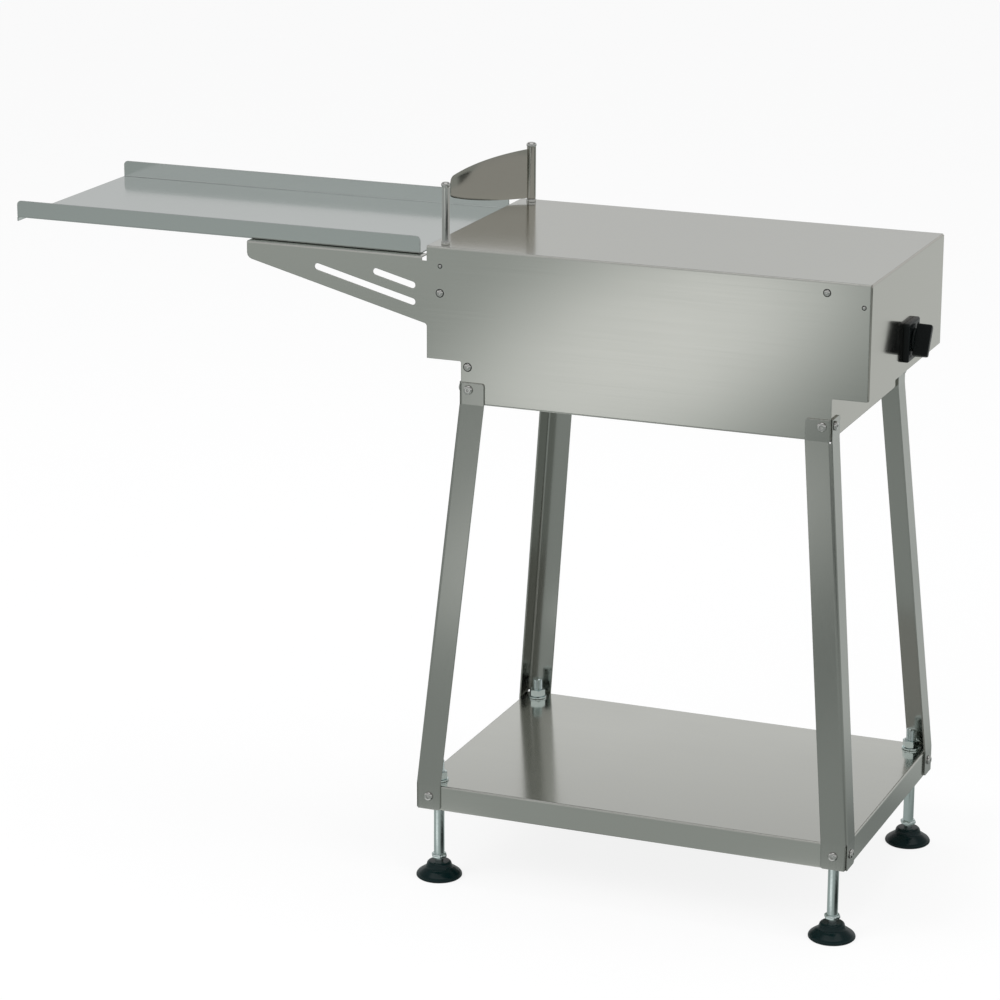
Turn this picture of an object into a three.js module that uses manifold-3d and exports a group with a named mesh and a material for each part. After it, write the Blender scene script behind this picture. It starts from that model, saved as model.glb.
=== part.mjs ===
// A stainless steel table for bagging bread. A flat blower housing stands on four splayed legs.
// A tray for a stack of bags hangs out on the left on two slotted brackets, air leaves the housing
// in a wide thin sheet along that tray, and two uprights with a curved guide wing line up the loaf.
// Millimetres, +Z up, X along the table, the front faces -Y. The origin is on the floor, under the
// middle of the whole outline.
import * as THREE from 'three';
import { mergeVertices } from 'three/addons/utils/BufferGeometryUtils.js';
import Module from 'manifold-3d';

const wasm = await Module();
wasm.setup();

// Driving dimensions of the table
const tableHeight = 1014.5;
const tableLength = 700;
const tableDepth = 394;
const upperDrop = 175;
const boxDrop = 241;
const boxInset = 56.5;
const sheet = 1.5;
const bend = 1.75;

// The margin at both ends of a flat top; between the two margins its faces are plain, for a mount
const plainMargin = 60;

// Clearances and cutting
const gap = 0.3;
const overrun = 10;
const weld = 1e-5;
const bendSteps = 3;
const crownSteps = 3;
const roundSides = 26;
const smallSides = 16;
const tinySides = 10;
const padSides = 18;
const holeSides = 8;
const hexSides = 6;
const ventSteps = 3;
const cornerSteps = 5;

// Side brackets that carry the tray
const bracketReach = 302;
const bracketDrop = 17.6;
const bracketFlange = 25;
const bracketTip = 26;
const bracketRoot = 104;
const bracketCorner = 10;
const bracketFillet = 5;
const reliefWidth = 8;
const reliefDepth = 6;
const notchFillet = 2;
const slotWidth = 10.5;
const slotRootOffset = 24;
const longSlot = 158;
const shortSlot = 60;
const longSlotDrop = 89;
const shortSlotDrop = 63;

// Folds of the housing
const bottomLip = 15;
const endFlange = 20;
const leftFlange = 10;
const endReveal = 2.4;
const endRounding = 3;

// Bottom plate and its air slots
const ventLength = 78;
const ventWidth = 7;
const ventPitch = 16;
const ventCount = 8;
const ventOffset = 112;

// Bag tray
const trayLength = 698;
const trayMargin = 14.5;
const trayFlange = 27.5;
const trayGap = 17;
const trayLip = 6;
const trayCorner = 7;

// Guide uprights and the wing
const uprightInset = 23;
const uprightMargin = 20;
const uprightHeight = 96;
const uprightRadius = 6;
const wingPinRadius = 5;
const frontHeadRadius = 7;
const backHeadRadius = 8;
const headHeight = 6.5;
const shoulderHeight = 5;
const shoulderChamfer = 0.5;
const uprightTail = 11;
const uprightNutHeight = 6;
const uprightNutFlats = 17;
const wingSheet = 2;
const wingChord = 157;
const wingBulge = 17;
const wingAngle = THREE.MathUtils.degToRad(237.2);
const barrelWall = 2;
const wingTopAtPin = 86;
const wingTopAtTip = 56;
const wingTopCrown = 74;
const wingLowAtPin = 6;
const wingLowAtTip = 24.5;
const wingLowCrown = 0;
const wingTipRounding = 9;

// Shelf
const shelfHeight = 161.5;
const shelfFlange = 40;

// Legs, and how far they splay outwards on their way down to the shelf
const splayX = 55.5;
const splayY = 41;
const legSheet = 2.5;
const legWidth = 40;
const legBend = 4;
const legTopTab = 34;
const legSlit = 4;
const legTabCorner = 4.5;
const upperScrewInset = 13;
const upperScrewRise = 23;
const lowerScrewInset = 19;
const lowerScrewDrop = 18.5;

// Levelling feet
const footInsetX = 25;
const footInsetY = 26;
const footRadius = 36.4;
const footHeight = 25.5;
const footNeck = 19;
const studRadius = 6.5;
const studSocket = 12;
const rodRadius = 8.5;
const rodAbove = 34;
const rodChamfer = 1.5;
const collarFlats = 22;
const collarHeight = 7;
const collarLift = 6;
const nutFlats = 24;
const nutHeight = 12;
const washerRadius = 15;
const washerHeight = 3;

// Leg screws
const screwHeadRadius = 6;
const screwHeadHeight = 3.2;
const screwShankRadius = 3;
const screwLength = 12;
const screwRimShare = 0.4;
const screwCrownShare = 0.7;

// Blower
const fanX = 110;
const fanDrop = 124;
const wheelRadius = 72;
const wheelEye = 56;
const wheelWidth = 68;
const wheelPlate = 2;
const wheelRim = 3;
const bladeCount = 24;
const bladeSteps = 2;
const bladeThickness = 1.6;
const bladeSweep = THREE.MathUtils.degToRad(16);
const hubRadius = 13;
const hubLength = 22;
const scrollStart = 80;
const scrollEnd = 111;
const scrollWidth = 80;
const scrollSteps = 30;
const tongueAngle = THREE.MathUtils.degToRad(140);
const outletReach = 100;
const inletRadius = 52;
const inletLip = 9;
const inletRound = 4;
const ductMouth = 300;
const ductMouthHeight = 13.5;
const ductCutShare = 0.02;
const shaftRadius = 6;
const shaftInMotor = 30;
const shaftBeyondHub = 6;
const motorRadius = 52;
const motorLength = 108;
const motorBell = 14;
const motorBellRadius = 44;
const motorPilot = 20;
const bracketPlate = 3;
const motorFoot = 95;
const motorPlateWidth = 120;

// Rotary switch on the right end
const switchY = 10;
const switchDrop = 126;
const switchSize = 60;
const switchDepth = 8.5;
const switchCorner = 4;
const switchBody = 46;
const switchBodyDepth = 48;
const switchShaftRadius = 4;
const knobBase = 18;
const knobBaseHeight = 3.5;
const knobBaseChamfer = 1;
const knobLength = 50;
const knobWidth = 14;
const knobTipWidth = 10;
const knobHeight = 21;
const knobRounding = 3;
const knobTurn = THREE.MathUtils.degToRad(30);

// Cable entry on the back
const glandX = 250;
const glandDrop = 150;
const glandRadius = 8;
const glandHead = 11;
const glandOut = 20;
const glandNut = 6;
const glandBore = 4;
const glandCapShare = 0.6;
const glandTaperShare = 0.75;

// Places worked out from the sizes above
const top = tableHeight;
const halfLength = tableLength / 2;
const halfDepth = tableDepth / 2;
const boxHalf = halfLength - boxInset;
const boxBottom = top - boxDrop;
const insideY = halfDepth - sheet - gap;
const insideTop = top - sheet - gap;
const insideLow = boxBottom + sheet + gap;
const flangeTop = top - bracketDrop;
const trayUnder = flangeTop + gap;
const trayRight = -halfLength - trayGap;
const trayLeft = trayRight - trayLength;
const trayWidth = tableDepth - 2 * trayMargin;
const pinX = -halfLength + uprightInset;
const pinY = halfDepth - uprightMargin;
const fanZ = top - fanDrop;
const scrollHalf = scrollWidth / 2;
const outletX = fanX - outletReach;
const switchZ = top - switchDrop;
const bezelX = halfLength + gap;
const knobX = bezelX + switchDepth + gap;
const knobEnd = knobX + knobBaseHeight + knobHeight;
const shelfLength = 2 * (boxHalf + splayX);
const shelfDepth = tableDepth + 2 * splayY;
const footX = shelfLength / 2 - footInsetX;
const footY = shelfDepth / 2 - footInsetY;

function material(color, roughness, metalness) {
  return new THREE.MeshStandardMaterial({ color, roughness, metalness });
}

const brushedSteel = material(0xa8aca8, 0.32, 0.95);
const legSteel = material(0x9a9c97, 0.38, 0.95);
const polishedSteel = material(0xb9bcbb, 0.14, 1);
const zincSteel = material(0xb4bac2, 0.3, 0.9);
const galvanised = material(0x9aa0a4, 0.5, 0.8);
const motorPaint = material(0x3c4046, 0.55, 0.2);
const blackPlastic = material(0x16171a, 0.42, 0);
const footPlastic = material(0x18181a, 0.55, 0);

// Solids and meshes
function toSolid(geometry) {
  const plain = geometry.clone();
  plain.deleteAttribute('normal');
  plain.deleteAttribute('uv');
  const merged = mergeVertices(plain, weld);
  return new wasm.Manifold(new wasm.Mesh({
    numProp: 3,
    vertProperties: merged.attributes.position.array,
    triVerts: new Uint32Array(merged.index.array),
  }));
}

function toGeometry(solid) {
  const mesh = solid.getMesh();
  const geometry = new THREE.BufferGeometry();
  geometry.setAttribute('position', new THREE.BufferAttribute(mesh.vertProperties, 3));
  geometry.setIndex(new THREE.BufferAttribute(mesh.triVerts, 1));
  geometry.computeVertexNormals();
  return geometry;
}

function inOrder(a, b) {
  return [Math.min(a, b), Math.max(a, b)];
}

function joined(solids) {
  return solids.reduce((whole, solid) => whole.add(solid));
}

function extruded(shape, depth, curveSegments = cornerSteps) {
  return new THREE.ExtrudeGeometry(shape, { depth, bevelEnabled: false, curveSegments });
}

// The turn that takes what is drawn in Y and Z, and run upwards, to lie along X
function sectionAxes() {
  return new THREE.Matrix4().makeBasis(
    new THREE.Vector3(0, 1, 0), new THREE.Vector3(0, 0, 1), new THREE.Vector3(1, 0, 0));
}

// An outline drawn in Y and Z, run along X from one place to another
function alongX(shape, from, to) {
  return toSolid(extruded(shape, to - from).applyMatrix4(sectionAxes()).translate(from, 0, 0));
}

// An outline drawn in X and Z, run along Y
function alongY(shape, from, to) {
  return toSolid(extruded(shape, to - from).rotateX(Math.PI / 2).translate(0, to, 0));
}

// An outline drawn in X and Y, run along Z
function alongZ(shape, from, to, curveSegments = cornerSteps) {
  return toSolid(extruded(shape, to - from, curveSegments).translate(0, 0, from));
}

function block(fromX, toX, fromY, toY, fromZ, toZ) {
  return toSolid(new THREE.BoxGeometry(toX - fromX, toY - fromY, toZ - fromZ)
    .translate((fromX + toX) / 2, (fromY + toY) / 2, (fromZ + toZ) / 2));
}

// A revolved profile of [radius, height] pairs, standing on the point given, along +Z
function revolved(profile, x, y, z, sides = roundSides) {
  const points = profile.map(([radius, height]) => new THREE.Vector2(radius, height));
  return toSolid(new THREE.LatheGeometry(points, sides).rotateX(Math.PI / 2).translate(x, y, z));
}

function cylinder(radius, x, y, fromZ, toZ, sides = roundSides) {
  return revolved([[0, 0], [radius, 0], [radius, toZ - fromZ], [0, toZ - fromZ]], x, y, fromZ, sides);
}

// A revolved profile lying along Y or along X, from the point given
function revolvedAlongY(profile, x, y, z, sides = roundSides) {
  const points = profile.map(([radius, length]) => new THREE.Vector2(radius, length));
  return toSolid(new THREE.LatheGeometry(points, sides).translate(x, y, z));
}

function revolvedAlongX(profile, x, y, z, sides = roundSides) {
  const points = profile.map(([radius, length]) => new THREE.Vector2(radius, length));
  return toSolid(new THREE.LatheGeometry(points, sides).rotateZ(-Math.PI / 2).translate(x, y, z));
}

function rounded(width, height, radius, x = 0, y = 0) {
  const shape = new THREE.Shape();
  const right = x + width / 2 - radius;
  const up = y + height / 2 - radius;
  const left = x - width / 2 + radius;
  const down = y - height / 2 + radius;
  shape.absarc(right, up, radius, 0, Math.PI / 2);
  shape.absarc(left, up, radius, Math.PI / 2, Math.PI);
  shape.absarc(left, down, radius, Math.PI, Math.PI * 1.5);
  shape.absarc(right, down, radius, Math.PI * 1.5, Math.PI * 2);
  return shape;
}

// The outline of a slot with round ends, between the centres of its two ends
function slotOutline(start, end, width) {
  const along = Math.atan2(end.y - start.y, end.x - start.x);
  const shape = new THREE.Shape();
  shape.absarc(end.x, end.y, width / 2, along - Math.PI / 2, along + Math.PI / 2);
  shape.absarc(start.x, start.y, width / 2, along + Math.PI / 2, along + Math.PI * 1.5);
  return shape;
}

// The arc that rounds a corner between its two neighbours: its centre, its hand and its spokes
function cornerArc(previous, corner, next, radius) {
  const before = corner.clone().sub(previous).normalize();
  const after = next.clone().sub(corner).normalize();
  const turn = Math.atan2(before.cross(after), before.dot(after));
  const hand = Math.sign(turn);
  const inward = new THREE.Vector2(-before.y, before.x).multiplyScalar(hand);
  const centre = corner.clone().addScaledVector(before, -radius * Math.tan(Math.abs(turn) / 2))
    .addScaledVector(inward, radius);
  const spokes = Array.from({ length: bendSteps + 1 }, (_, step) =>
    inward.clone().negate().rotateAround(new THREE.Vector2(), turn * step / bendSteps));
  return { centre, hand, spokes };
}

// An outline through corners given as [x, y, radius]
function softened(corners) {
  const points = corners.map(([x, y]) => new THREE.Vector2(x, y));
  const count = points.length;
  return new THREE.Shape(points.flatMap((point, index) => {
    const radius = corners[index][2] || 0;
    if (!radius) return [point];
    const { centre, spokes } = cornerArc(
      points[(index + count - 1) % count], point, points[(index + 1) % count], radius);
    return spokes.map((spoke) => centre.clone().addScaledVector(spoke, radius));
  }));
}

// The outline of a folded sheet: its middle line, thickened, with round bends
function folded(line, thickness, radius) {
  const points = line.map(([x, y]) => new THREE.Vector2(x, y));
  const leftSide = [];
  const rightSide = [];
  points.forEach((point, index) => {
    if (index === 0 || index === points.length - 1) {
      const [from, to] = index === 0 ? [points[0], points[1]] : points.slice(-2);
      const along = to.clone().sub(from).normalize();
      const side = new THREE.Vector2(-along.y, along.x).multiplyScalar(thickness / 2);
      leftSide.push(point.clone().add(side));
      rightSide.push(point.clone().sub(side));
      return;
    }
    const { centre, hand, spokes } = cornerArc(points[index - 1], point, points[index + 1], radius);
    for (const spoke of spokes) {
      leftSide.push(centre.clone().addScaledVector(spoke, radius - hand * thickness / 2));
      rightSide.push(centre.clone().addScaledVector(spoke, radius + hand * thickness / 2));
    }
  });
  return new THREE.Shape([...leftSide, ...rightSide.reverse()]);
}

// A hexagon outline, by its width across flats
function hexagon(flats, x, y) {
  const reach = flats / Math.sqrt(3);
  const corners = Array.from({ length: hexSides }, (_, corner) => {
    const angle = corner * Math.PI * 2 / hexSides;
    return new THREE.Vector2(x + reach * Math.cos(angle), y + reach * Math.sin(angle));
  });
  return new THREE.Shape(corners);
}

// A skin over rings of points with the same count, closed by flat ends, and then turned to its axes
function lofted(rings, axes = new THREE.Matrix4()) {
  const count = rings[0].length;
  const positions = rings.flat().flatMap((point) => [point.x, point.y, point.z]);
  const index = [];
  for (let ring = 0; ring < rings.length - 1; ring += 1) {
    for (let side = 0; side < count; side += 1) {
      const next = (side + 1) % count;
      const low = ring * count;
      const high = low + count;
      index.push(low + side, low + next, high + next, low + side, high + next, high + side);
    }
  }
  const lastRing = (rings.length - 1) * count;
  const flatPoints = rings[0].map((point) => new THREE.Vector2(point.x, point.y));
  THREE.ShapeUtils.triangulateShape(flatPoints, []).forEach(([a, b, c]) => {
    index.push(a, c, b, lastRing + a, lastRing + b, lastRing + c);
  });
  const geometry = new THREE.BufferGeometry();
  geometry.setAttribute('position', new THREE.Float32BufferAttribute(positions, 3));
  geometry.setIndex(index);
  return toSolid(geometry.applyMatrix4(axes));
}

const group = new THREE.Group();

function piece(name, solid, finish) {
  const mesh = new THREE.Mesh(toGeometry(solid), finish);
  mesh.name = name;
  group.add(mesh);
}

// The front view of the main sheet: housing front, notches at both ends and the tray bracket
function frontView() {
  const tipX = -halfLength - bracketReach;
  const tipLow = flangeTop - bracketTip;
  const rootLow = flangeTop - bracketRoot;
  const slope = (tipLow - rootLow) / bracketReach;
  const shape = softened([
    [-halfLength, top + overrun], [halfLength, top + overrun], [halfLength, top - upperDrop],
    [boxHalf, top - upperDrop, notchFillet], [boxHalf, boxBottom - overrun],
    [-boxHalf, boxBottom - overrun], [-boxHalf, top - upperDrop, notchFillet],
    [-halfLength, top - upperDrop], [-halfLength, rootLow, bracketFillet],
    [tipX, tipLow, bracketCorner], [tipX, flangeTop + overrun],
    [-halfLength - reliefWidth, flangeTop + overrun],
    [-halfLength - reliefWidth, flangeTop - reliefDepth], [-halfLength, flangeTop - reliefDepth],
  ]);
  shape.holes.push(bracketSlot(longSlot, longSlotDrop, slope));
  shape.holes.push(bracketSlot(shortSlot, shortSlotDrop, slope));
  return shape;
}

function bracketSlot(length, drop, slope) {
  const end = new THREE.Vector2(-halfLength - slotRootOffset, top - drop);
  const start = new THREE.Vector2(end.x - length, end.y + length * slope);
  return slotOutline(start, end, slotWidth);
}

// Half the plain stretch of a top. Stretches meet at whole millimetres, so that they meet exactly
function plainHalf(length) {
  return Math.round(length / 2 - plainMargin);
}

// Front, top and back of the housing folded from one sheet, with both brackets
function housingShell() {
  const wallY = halfDepth - sheet / 2;
  const low = boxBottom + sheet / 2;
  const high = top - sheet / 2;
  const channel = folded([
    [bottomLip - wallY, low], [-wallY, low], [-wallY, high],
    [wallY, high], [wallY, low], [wallY - bottomLip, low],
  ], sheet, bend);
  const plain = plainHalf(tableLength);
  const walls = [[-halfLength, -plain], [-plain, plain], [plain, halfLength - endReveal]]
    .map(([from, to]) => alongX(channel, from, to));
  for (const side of [-1, 1]) {
    const flange = folded([
      [side * wallY, boxBottom], [side * wallY, flangeTop - sheet / 2],
      [side * (wallY - bracketFlange), flangeTop - sheet / 2],
    ], sheet, bend);
    walls.push(alongX(flange, -halfLength - bracketReach, -halfLength - reliefWidth));
    const edges = inOrder(side * (halfDepth - sheet), side * halfDepth);
    walls.push(block(-halfLength - bracketReach / 2, -halfLength + bracketFlange, ...edges,
      boxBottom + bottomLip, flangeTop - bend - sheet));
  }
  let shell = joined(walls).intersect(alongY(frontView(), -halfDepth - overrun, halfDepth + overrun));
  for (const side of [-1, 1]) {
    const radius = side > 0 ? wingPinRadius : uprightRadius;
    shell = shell.subtract(cylinder(radius + gap, pinX, side * pinY, top - overrun, top + overrun,
      smallSides));
  }
  const glandHole = [[0, 0], [glandRadius + gap, 0], [glandRadius + gap, overrun], [0, overrun]];
  return withScrewHoles(shell.subtract(
    revolvedAlongY(glandHole, glandX, halfDepth - overrun / 2, top - glandDrop, smallSides)));
}

// The space inside the main sheet, less a clearance, for what is fitted in it
function insideOutline(inset, below) {
  const height = insideTop - inset - insideLow + below;
  return rounded(2 * (insideY - inset), height, bend, 0, insideTop - inset - height / 2);
}

// The side view of an end of the housing: upper wall, ledge and lower wall, filled inwards
function endView(side, flange, inset) {
  const high = top + overrun;
  const low = insideLow - overrun;
  const ledge = top - upperDrop;
  return softened([
    [side * (boxHalf - flange), low], [side * (boxHalf - inset), low],
    [side * (boxHalf - inset), ledge + inset, bend + (inset > 0 ? 1 : -1) * sheet / 2],
    [side * (halfLength - inset), ledge + inset, bend + (inset > 0 ? -1 : 1) * sheet / 2],
    [side * (halfLength - inset), high], [side * (halfLength - flange), high],
    [side * (halfLength - flange), ledge + flange], [side * (boxHalf - flange), ledge + flange],
  ]);
}

// An end of the housing, folded from one sheet and flanged along three sides
function endPanel(side, flange) {
  const span = inOrder(side * (boxHalf - flange - overrun), side * (halfLength + overrun));
  const outside = alongY(endView(side, flange, 0), -insideY, insideY)
    .intersect(alongX(insideOutline(0, 0), ...span));
  const inside = alongY(endView(side, flange + overrun, sheet), -halfDepth, halfDepth)
    .intersect(alongX(insideOutline(sheet, overrun), ...span));
  return { outside, inside };
}

// The right end also covers the edges of the main sheet's end with a rounded rim
function rightEndPanel() {
  const { outside, inside } = endPanel(1, endFlange);
  const low = top - upperDrop;
  const face = rounded(tableDepth - 2 * endRounding, upperDrop - 2 * endRounding, bend, 0,
    top - upperDrop / 2);
  const crown = new THREE.ExtrudeGeometry(face, {
    depth: endRounding, bevelThickness: endRounding, bevelSize: endRounding, bevelSegments: crownSteps,
    curveSegments: crownSteps,
  });
  const rim = toSolid(crown.applyMatrix4(sectionAxes()).translate(halfLength - 2 * endRounding, 0, 0))
    .intersect(block(halfLength - endReveal + gap, halfLength + overrun, -tableDepth, tableDepth,
      low, top + overrun));
  const bore = switchShaftRadius + gap;
  const shaftHole = [[0, 0], [bore, 0], [bore, 2 * overrun], [0, 2 * overrun]];
  return withScrewHoles(outside.add(rim).subtract(inside)
    .subtract(revolvedAlongX(shaftHole, halfLength - overrun, switchY, switchZ, smallSides)));
}

function leftEndPanel() {
  const { outside, inside } = endPanel(-1, leftFlange);
  const mouth = ductMouth / 2 + gap;
  const slot = block(-halfLength - overrun, -halfLength + leftFlange + overrun, -mouth, mouth,
    insideTop - ductMouthHeight - gap, top);
  return withScrewHoles(outside.subtract(inside).subtract(slot));
}

// Floor of the housing, with a row of slots under the blower's inlet
function bottomPlate() {
  const plate = rounded(2 * (boxHalf - sheet - gap), 2 * (insideY - sheet - gap), bend);
  const first = fanX - ventPitch * (ventCount - 1) / 2;
  for (let vent = 0; vent < ventCount; vent += 1) {
    const x = first + vent * ventPitch;
    const start = new THREE.Vector2(x, -ventOffset - ventLength / 2 + ventWidth / 2);
    const end = new THREE.Vector2(x, -ventOffset + ventLength / 2 - ventWidth / 2);
    plate.holes.push(slotOutline(start, end, ventWidth));
  }
  return alongZ(plate, insideLow, insideLow + sheet, ventSteps);
}

// The open-ended tray for the bags: two flanges up, a short lip down at the far end
function bagTray() {
  const edgeY = trayWidth / 2 - sheet / 2;
  const floor = trayUnder + sheet / 2;
  const rim = trayUnder + trayFlange;
  const channel = folded([[-edgeY, rim], [-edgeY, floor], [edgeY, floor], [edgeY, rim]], sheet, bend);
  const sideView = new THREE.Shape();
  sideView.moveTo(trayLeft, trayUnder - overrun);
  sideView.lineTo(trayRight, trayUnder - overrun);
  sideView.lineTo(trayRight, rim - trayCorner);
  sideView.absarc(trayRight - trayCorner, rim - trayCorner, trayCorner, 0, Math.PI / 2);
  const farCorner = trayLeft + bend + trayCorner;
  sideView.absarc(farCorner, rim - trayCorner, trayCorner, Math.PI / 2, Math.PI);
  const lip = folded([
    [trayLeft + trayFlange, floor], [trayLeft + sheet / 2, floor],
    [trayLeft + sheet / 2, trayUnder - trayLip],
  ], sheet, bend);
  const flat = edgeY - bend;
  const body = alongX(channel, trayLeft + bend, trayRight)
    .intersect(alongY(sideView, -trayWidth, trayWidth));
  return body.add(alongY(lip, -flat, flat));
}

// An upright: a turned pin with a shoulder on the table, a head, and a tail for its nut
function upright(radius, headRadius, side) {
  const headLow = uprightHeight - headHeight;
  const profile = [
    [0, -uprightTail], [radius, -uprightTail], [radius, gap], [headRadius, gap],
    [headRadius, shoulderHeight - shoulderChamfer],
    [headRadius - shoulderChamfer, shoulderHeight], [radius, shoulderHeight],
    [radius, headLow], [headRadius, headLow], [headRadius, uprightHeight - headHeight / 3],
    [headRadius - headHeight / 3, uprightHeight], [0, uprightHeight],
  ];
  return revolved(profile, pinX, side * pinY, top, smallSides);
}

function uprightNut(radius, side) {
  const high = insideTop;
  const y = side * pinY;
  return alongZ(hexagon(uprightNutFlats, pinX, y), high - uprightNutHeight, high)
    .subtract(cylinder(radius + gap, pinX, y, high - overrun, high + overrun, smallSides));
}

// The wing: sheet rolled to an arc, tapering to its tip, welded to a barrel round the back upright
function guideWing() {
  const along = new THREE.Vector2(Math.cos(wingAngle), Math.sin(wingAngle));
  const across = new THREE.Vector2(along.y, -along.x);
  const radius = (wingChord * wingChord / 4 + wingBulge * wingBulge) / (2 * wingBulge);
  const middle = new THREE.Vector2(pinX, pinY).addScaledVector(along, wingChord / 2)
    .addScaledVector(across, wingBulge - radius);
  const half = Math.asin(wingChord / 2 / radius);
  const towards = Math.atan2(across.y, across.x);
  const plan = new THREE.Shape();
  plan.absarc(middle.x, middle.y, radius + wingSheet / 2, towards - half, towards + half, false);
  plan.absarc(middle.x, middle.y, radius - wingSheet / 2, towards + half, towards - half, true);
  const sideView = new THREE.Shape();
  const easing = wingTipRounding / 4;
  sideView.moveTo(0, wingLowAtPin);
  sideView.quadraticCurveTo(
    wingChord / 2, wingLowCrown, wingChord - 2 * easing, wingLowAtTip - easing);
  sideView.quadraticCurveTo(wingChord, wingLowAtTip, wingChord, wingLowAtTip + 2 * easing);
  sideView.lineTo(wingChord, wingTopAtTip - wingTipRounding);
  sideView.quadraticCurveTo(
    wingChord, wingTopAtTip, wingChord - wingTipRounding, wingTopAtTip + easing);
  sideView.quadraticCurveTo(wingChord / 2, wingTopCrown, 0, wingTopAtPin);
  const depth = 4 * wingBulge;
  const basis = new THREE.Matrix4().makeBasis(new THREE.Vector3(along.x, along.y, 0),
    new THREE.Vector3(0, 0, 1), new THREE.Vector3(across.x, across.y, 0));
  const cutter = toSolid(extruded(sideView, depth).translate(0, 0, -depth / 2).applyMatrix4(basis)
    .translate(pinX, pinY, top));
  const blade = toSolid(new THREE.ExtrudeGeometry(plan, {
    depth: uprightHeight, bevelEnabled: false, curveSegments: roundSides / 2,
  }).translate(0, 0, top)).intersect(cutter);
  const low = top + shoulderHeight + gap;
  const high = top + uprightHeight - headHeight - gap;
  const bore = wingPinRadius + gap;
  return blade.add(cylinder(bore + barrelWall, pinX, pinY, low, high, smallSides))
    .subtract(cylinder(bore, pinX, pinY, top, top + uprightHeight, smallSides));
}

// The shelf: a flat sheet with a flange turned down along each side, welded at the corners
function shelf() {
  const low = shelfHeight - shelfFlange;
  const high = shelfHeight - sheet / 2;
  const wallX = shelfLength / 2 - sheet / 2;
  const wallY = shelfDepth / 2 - sheet / 2;
  const channel = folded([[-wallY, low], [-wallY, high], [wallY, high], [wallY, low]], sheet, bend);
  const plain = plainHalf(shelfLength);
  const stretches = [alongX(channel, -plain, plain)];
  for (const side of [-1, 1]) {
    const end = folded([[side * plain, high], [side * wallX, high], [side * wallX, low]], sheet, bend);
    stretches.push(alongX(channel, ...inOrder(side * plain, side * (wallX - bend))));
    stretches.push(alongY(end, bend - wallY, wallY - bend));
  }
  const foldLow = shelfHeight - bend - sheet / 2;
  const welds = corners(1, 1).map(([sideX, sideY]) => block(
    ...inOrder(sideX * (wallX - bend), sideX * shelfLength / 2),
    ...inOrder(sideY * (wallY - bend), sideY * shelfDepth / 2), low, foldLow));
  let tray = joined([...stretches, ...welds]);
  for (const [x, y] of corners(footX, footY)) {
    tray = tray.subtract(
      cylinder(rodRadius + gap, x, y, shelfHeight - overrun, shelfHeight + overrun, smallSides));
  }
  return withScrewHoles(tray);
}

function corners(x, y) {
  return [[-x, -y], [x, -y], [x, y], [-x, y]];
}

// A leg: an angle whose two ends are upright tabs, slit at the corner, with a splayed length between
function leg(sideX, sideY) {
  const tabLow = shelfHeight - shelfFlange;
  const levels = [
    [tabLow, 0], [shelfHeight, 0], [boxBottom, 1], [boxBottom + legTopTab, 1],
  ];
  const outside = gap + legSheet / 2;
  const lowCorner = [shelfLength / 2 + outside, shelfDepth / 2 + outside];
  const highCorner = [boxHalf + outside, halfDepth + outside];
  const rings = levels.map(([z, share]) => {
    const x = THREE.MathUtils.lerp(lowCorner[0], highCorner[0], share) * sideX;
    const y = THREE.MathUtils.lerp(lowCorner[1], highCorner[1], share) * sideY;
    const line = [[x - sideX * legWidth, y], [x, y], [x, y - sideY * legWidth]];
    const ring = folded(line, legSheet, legBend).getPoints();
    const ordered = THREE.ShapeUtils.isClockWise(ring) ? ring.reverse() : ring;
    return ordered.map((point) => new THREE.Vector3(point.x, point.y, z));
  });
  const cuts = [[lowCorner, tabLow, -1, shelfHeight], [highCorner, boxBottom + legTopTab, 1, boxBottom]]
    .flatMap((end) => tabCuts(sideX, sideY, ...end));
  const angle = cuts.reduce((body, cut) => body.subtract(cut), lofted(rings));
  return withScrewHoles(angle, [[sideX, sideY]]);
}

// What is cut from an end of a leg: the slit at its corner, and the free corner of both tabs
function tabCuts(sideX, sideY, [cornerX, cornerY], edge, upwards, slitEnd) {
  const open = new THREE.Vector2(0, edge + upwards * overrun);
  const depth = 4 * legSheet + legSlit;
  const reach = legSlit / Math.SQRT2;
  const slit = extruded(slotOutline(new THREE.Vector2(0, slitEnd), open, legSlit), depth, ventSteps)
    .translate(0, 0, -depth / 2).rotateX(Math.PI / 2).rotateZ(-Math.atan2(sideX, sideY))
    .translate(sideX * (cornerX - reach / 2), sideY * (cornerY - reach / 2), 0);
  const across = (side, place) => inOrder(side * (place - overrun), side * (place + overrun));
  return [
    toSolid(slit),
    alongY(cornerCut(sideX * (cornerX - legWidth), edge, -sideX, upwards), ...across(sideY, cornerY)),
    alongX(cornerCut(sideY * (cornerY - legWidth), edge, -sideY, upwards), ...across(sideX, cornerX)),
  ];
}

// The outline that rounds a square corner of a tab, between its arc and a block outside the corner
function cornerCut(x, z, outwards, upwards) {
  const arc = Array.from({ length: crownSteps + 1 }, (_, step) => {
    const angle = Math.PI / 2 * step / crownSteps;
    return new THREE.Vector2(x - outwards * legTabCorner * (1 - Math.cos(angle)),
      z - upwards * legTabCorner * (1 - Math.sin(angle)));
  });
  return new THREE.Shape([...arc,
    new THREE.Vector2(x - outwards * legTabCorner, z + upwards * overrun),
    new THREE.Vector2(x + outwards * overrun, z + upwards * overrun),
    new THREE.Vector2(x + outwards * overrun, z - upwards * legTabCorner),
  ]);
}

// The outline of a foot's bell, as shares of the way from neck to rim and of its height
const padShares = [
  [0.88, 0], [1, 0.07], [1, 0.21], [0.88, 0.34], [0.64, 0.48], [0.42, 0.57], [0.18, 0.64], [0.09, 0.76],
  [0, 0.91], [-0.15, 1],
];

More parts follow.
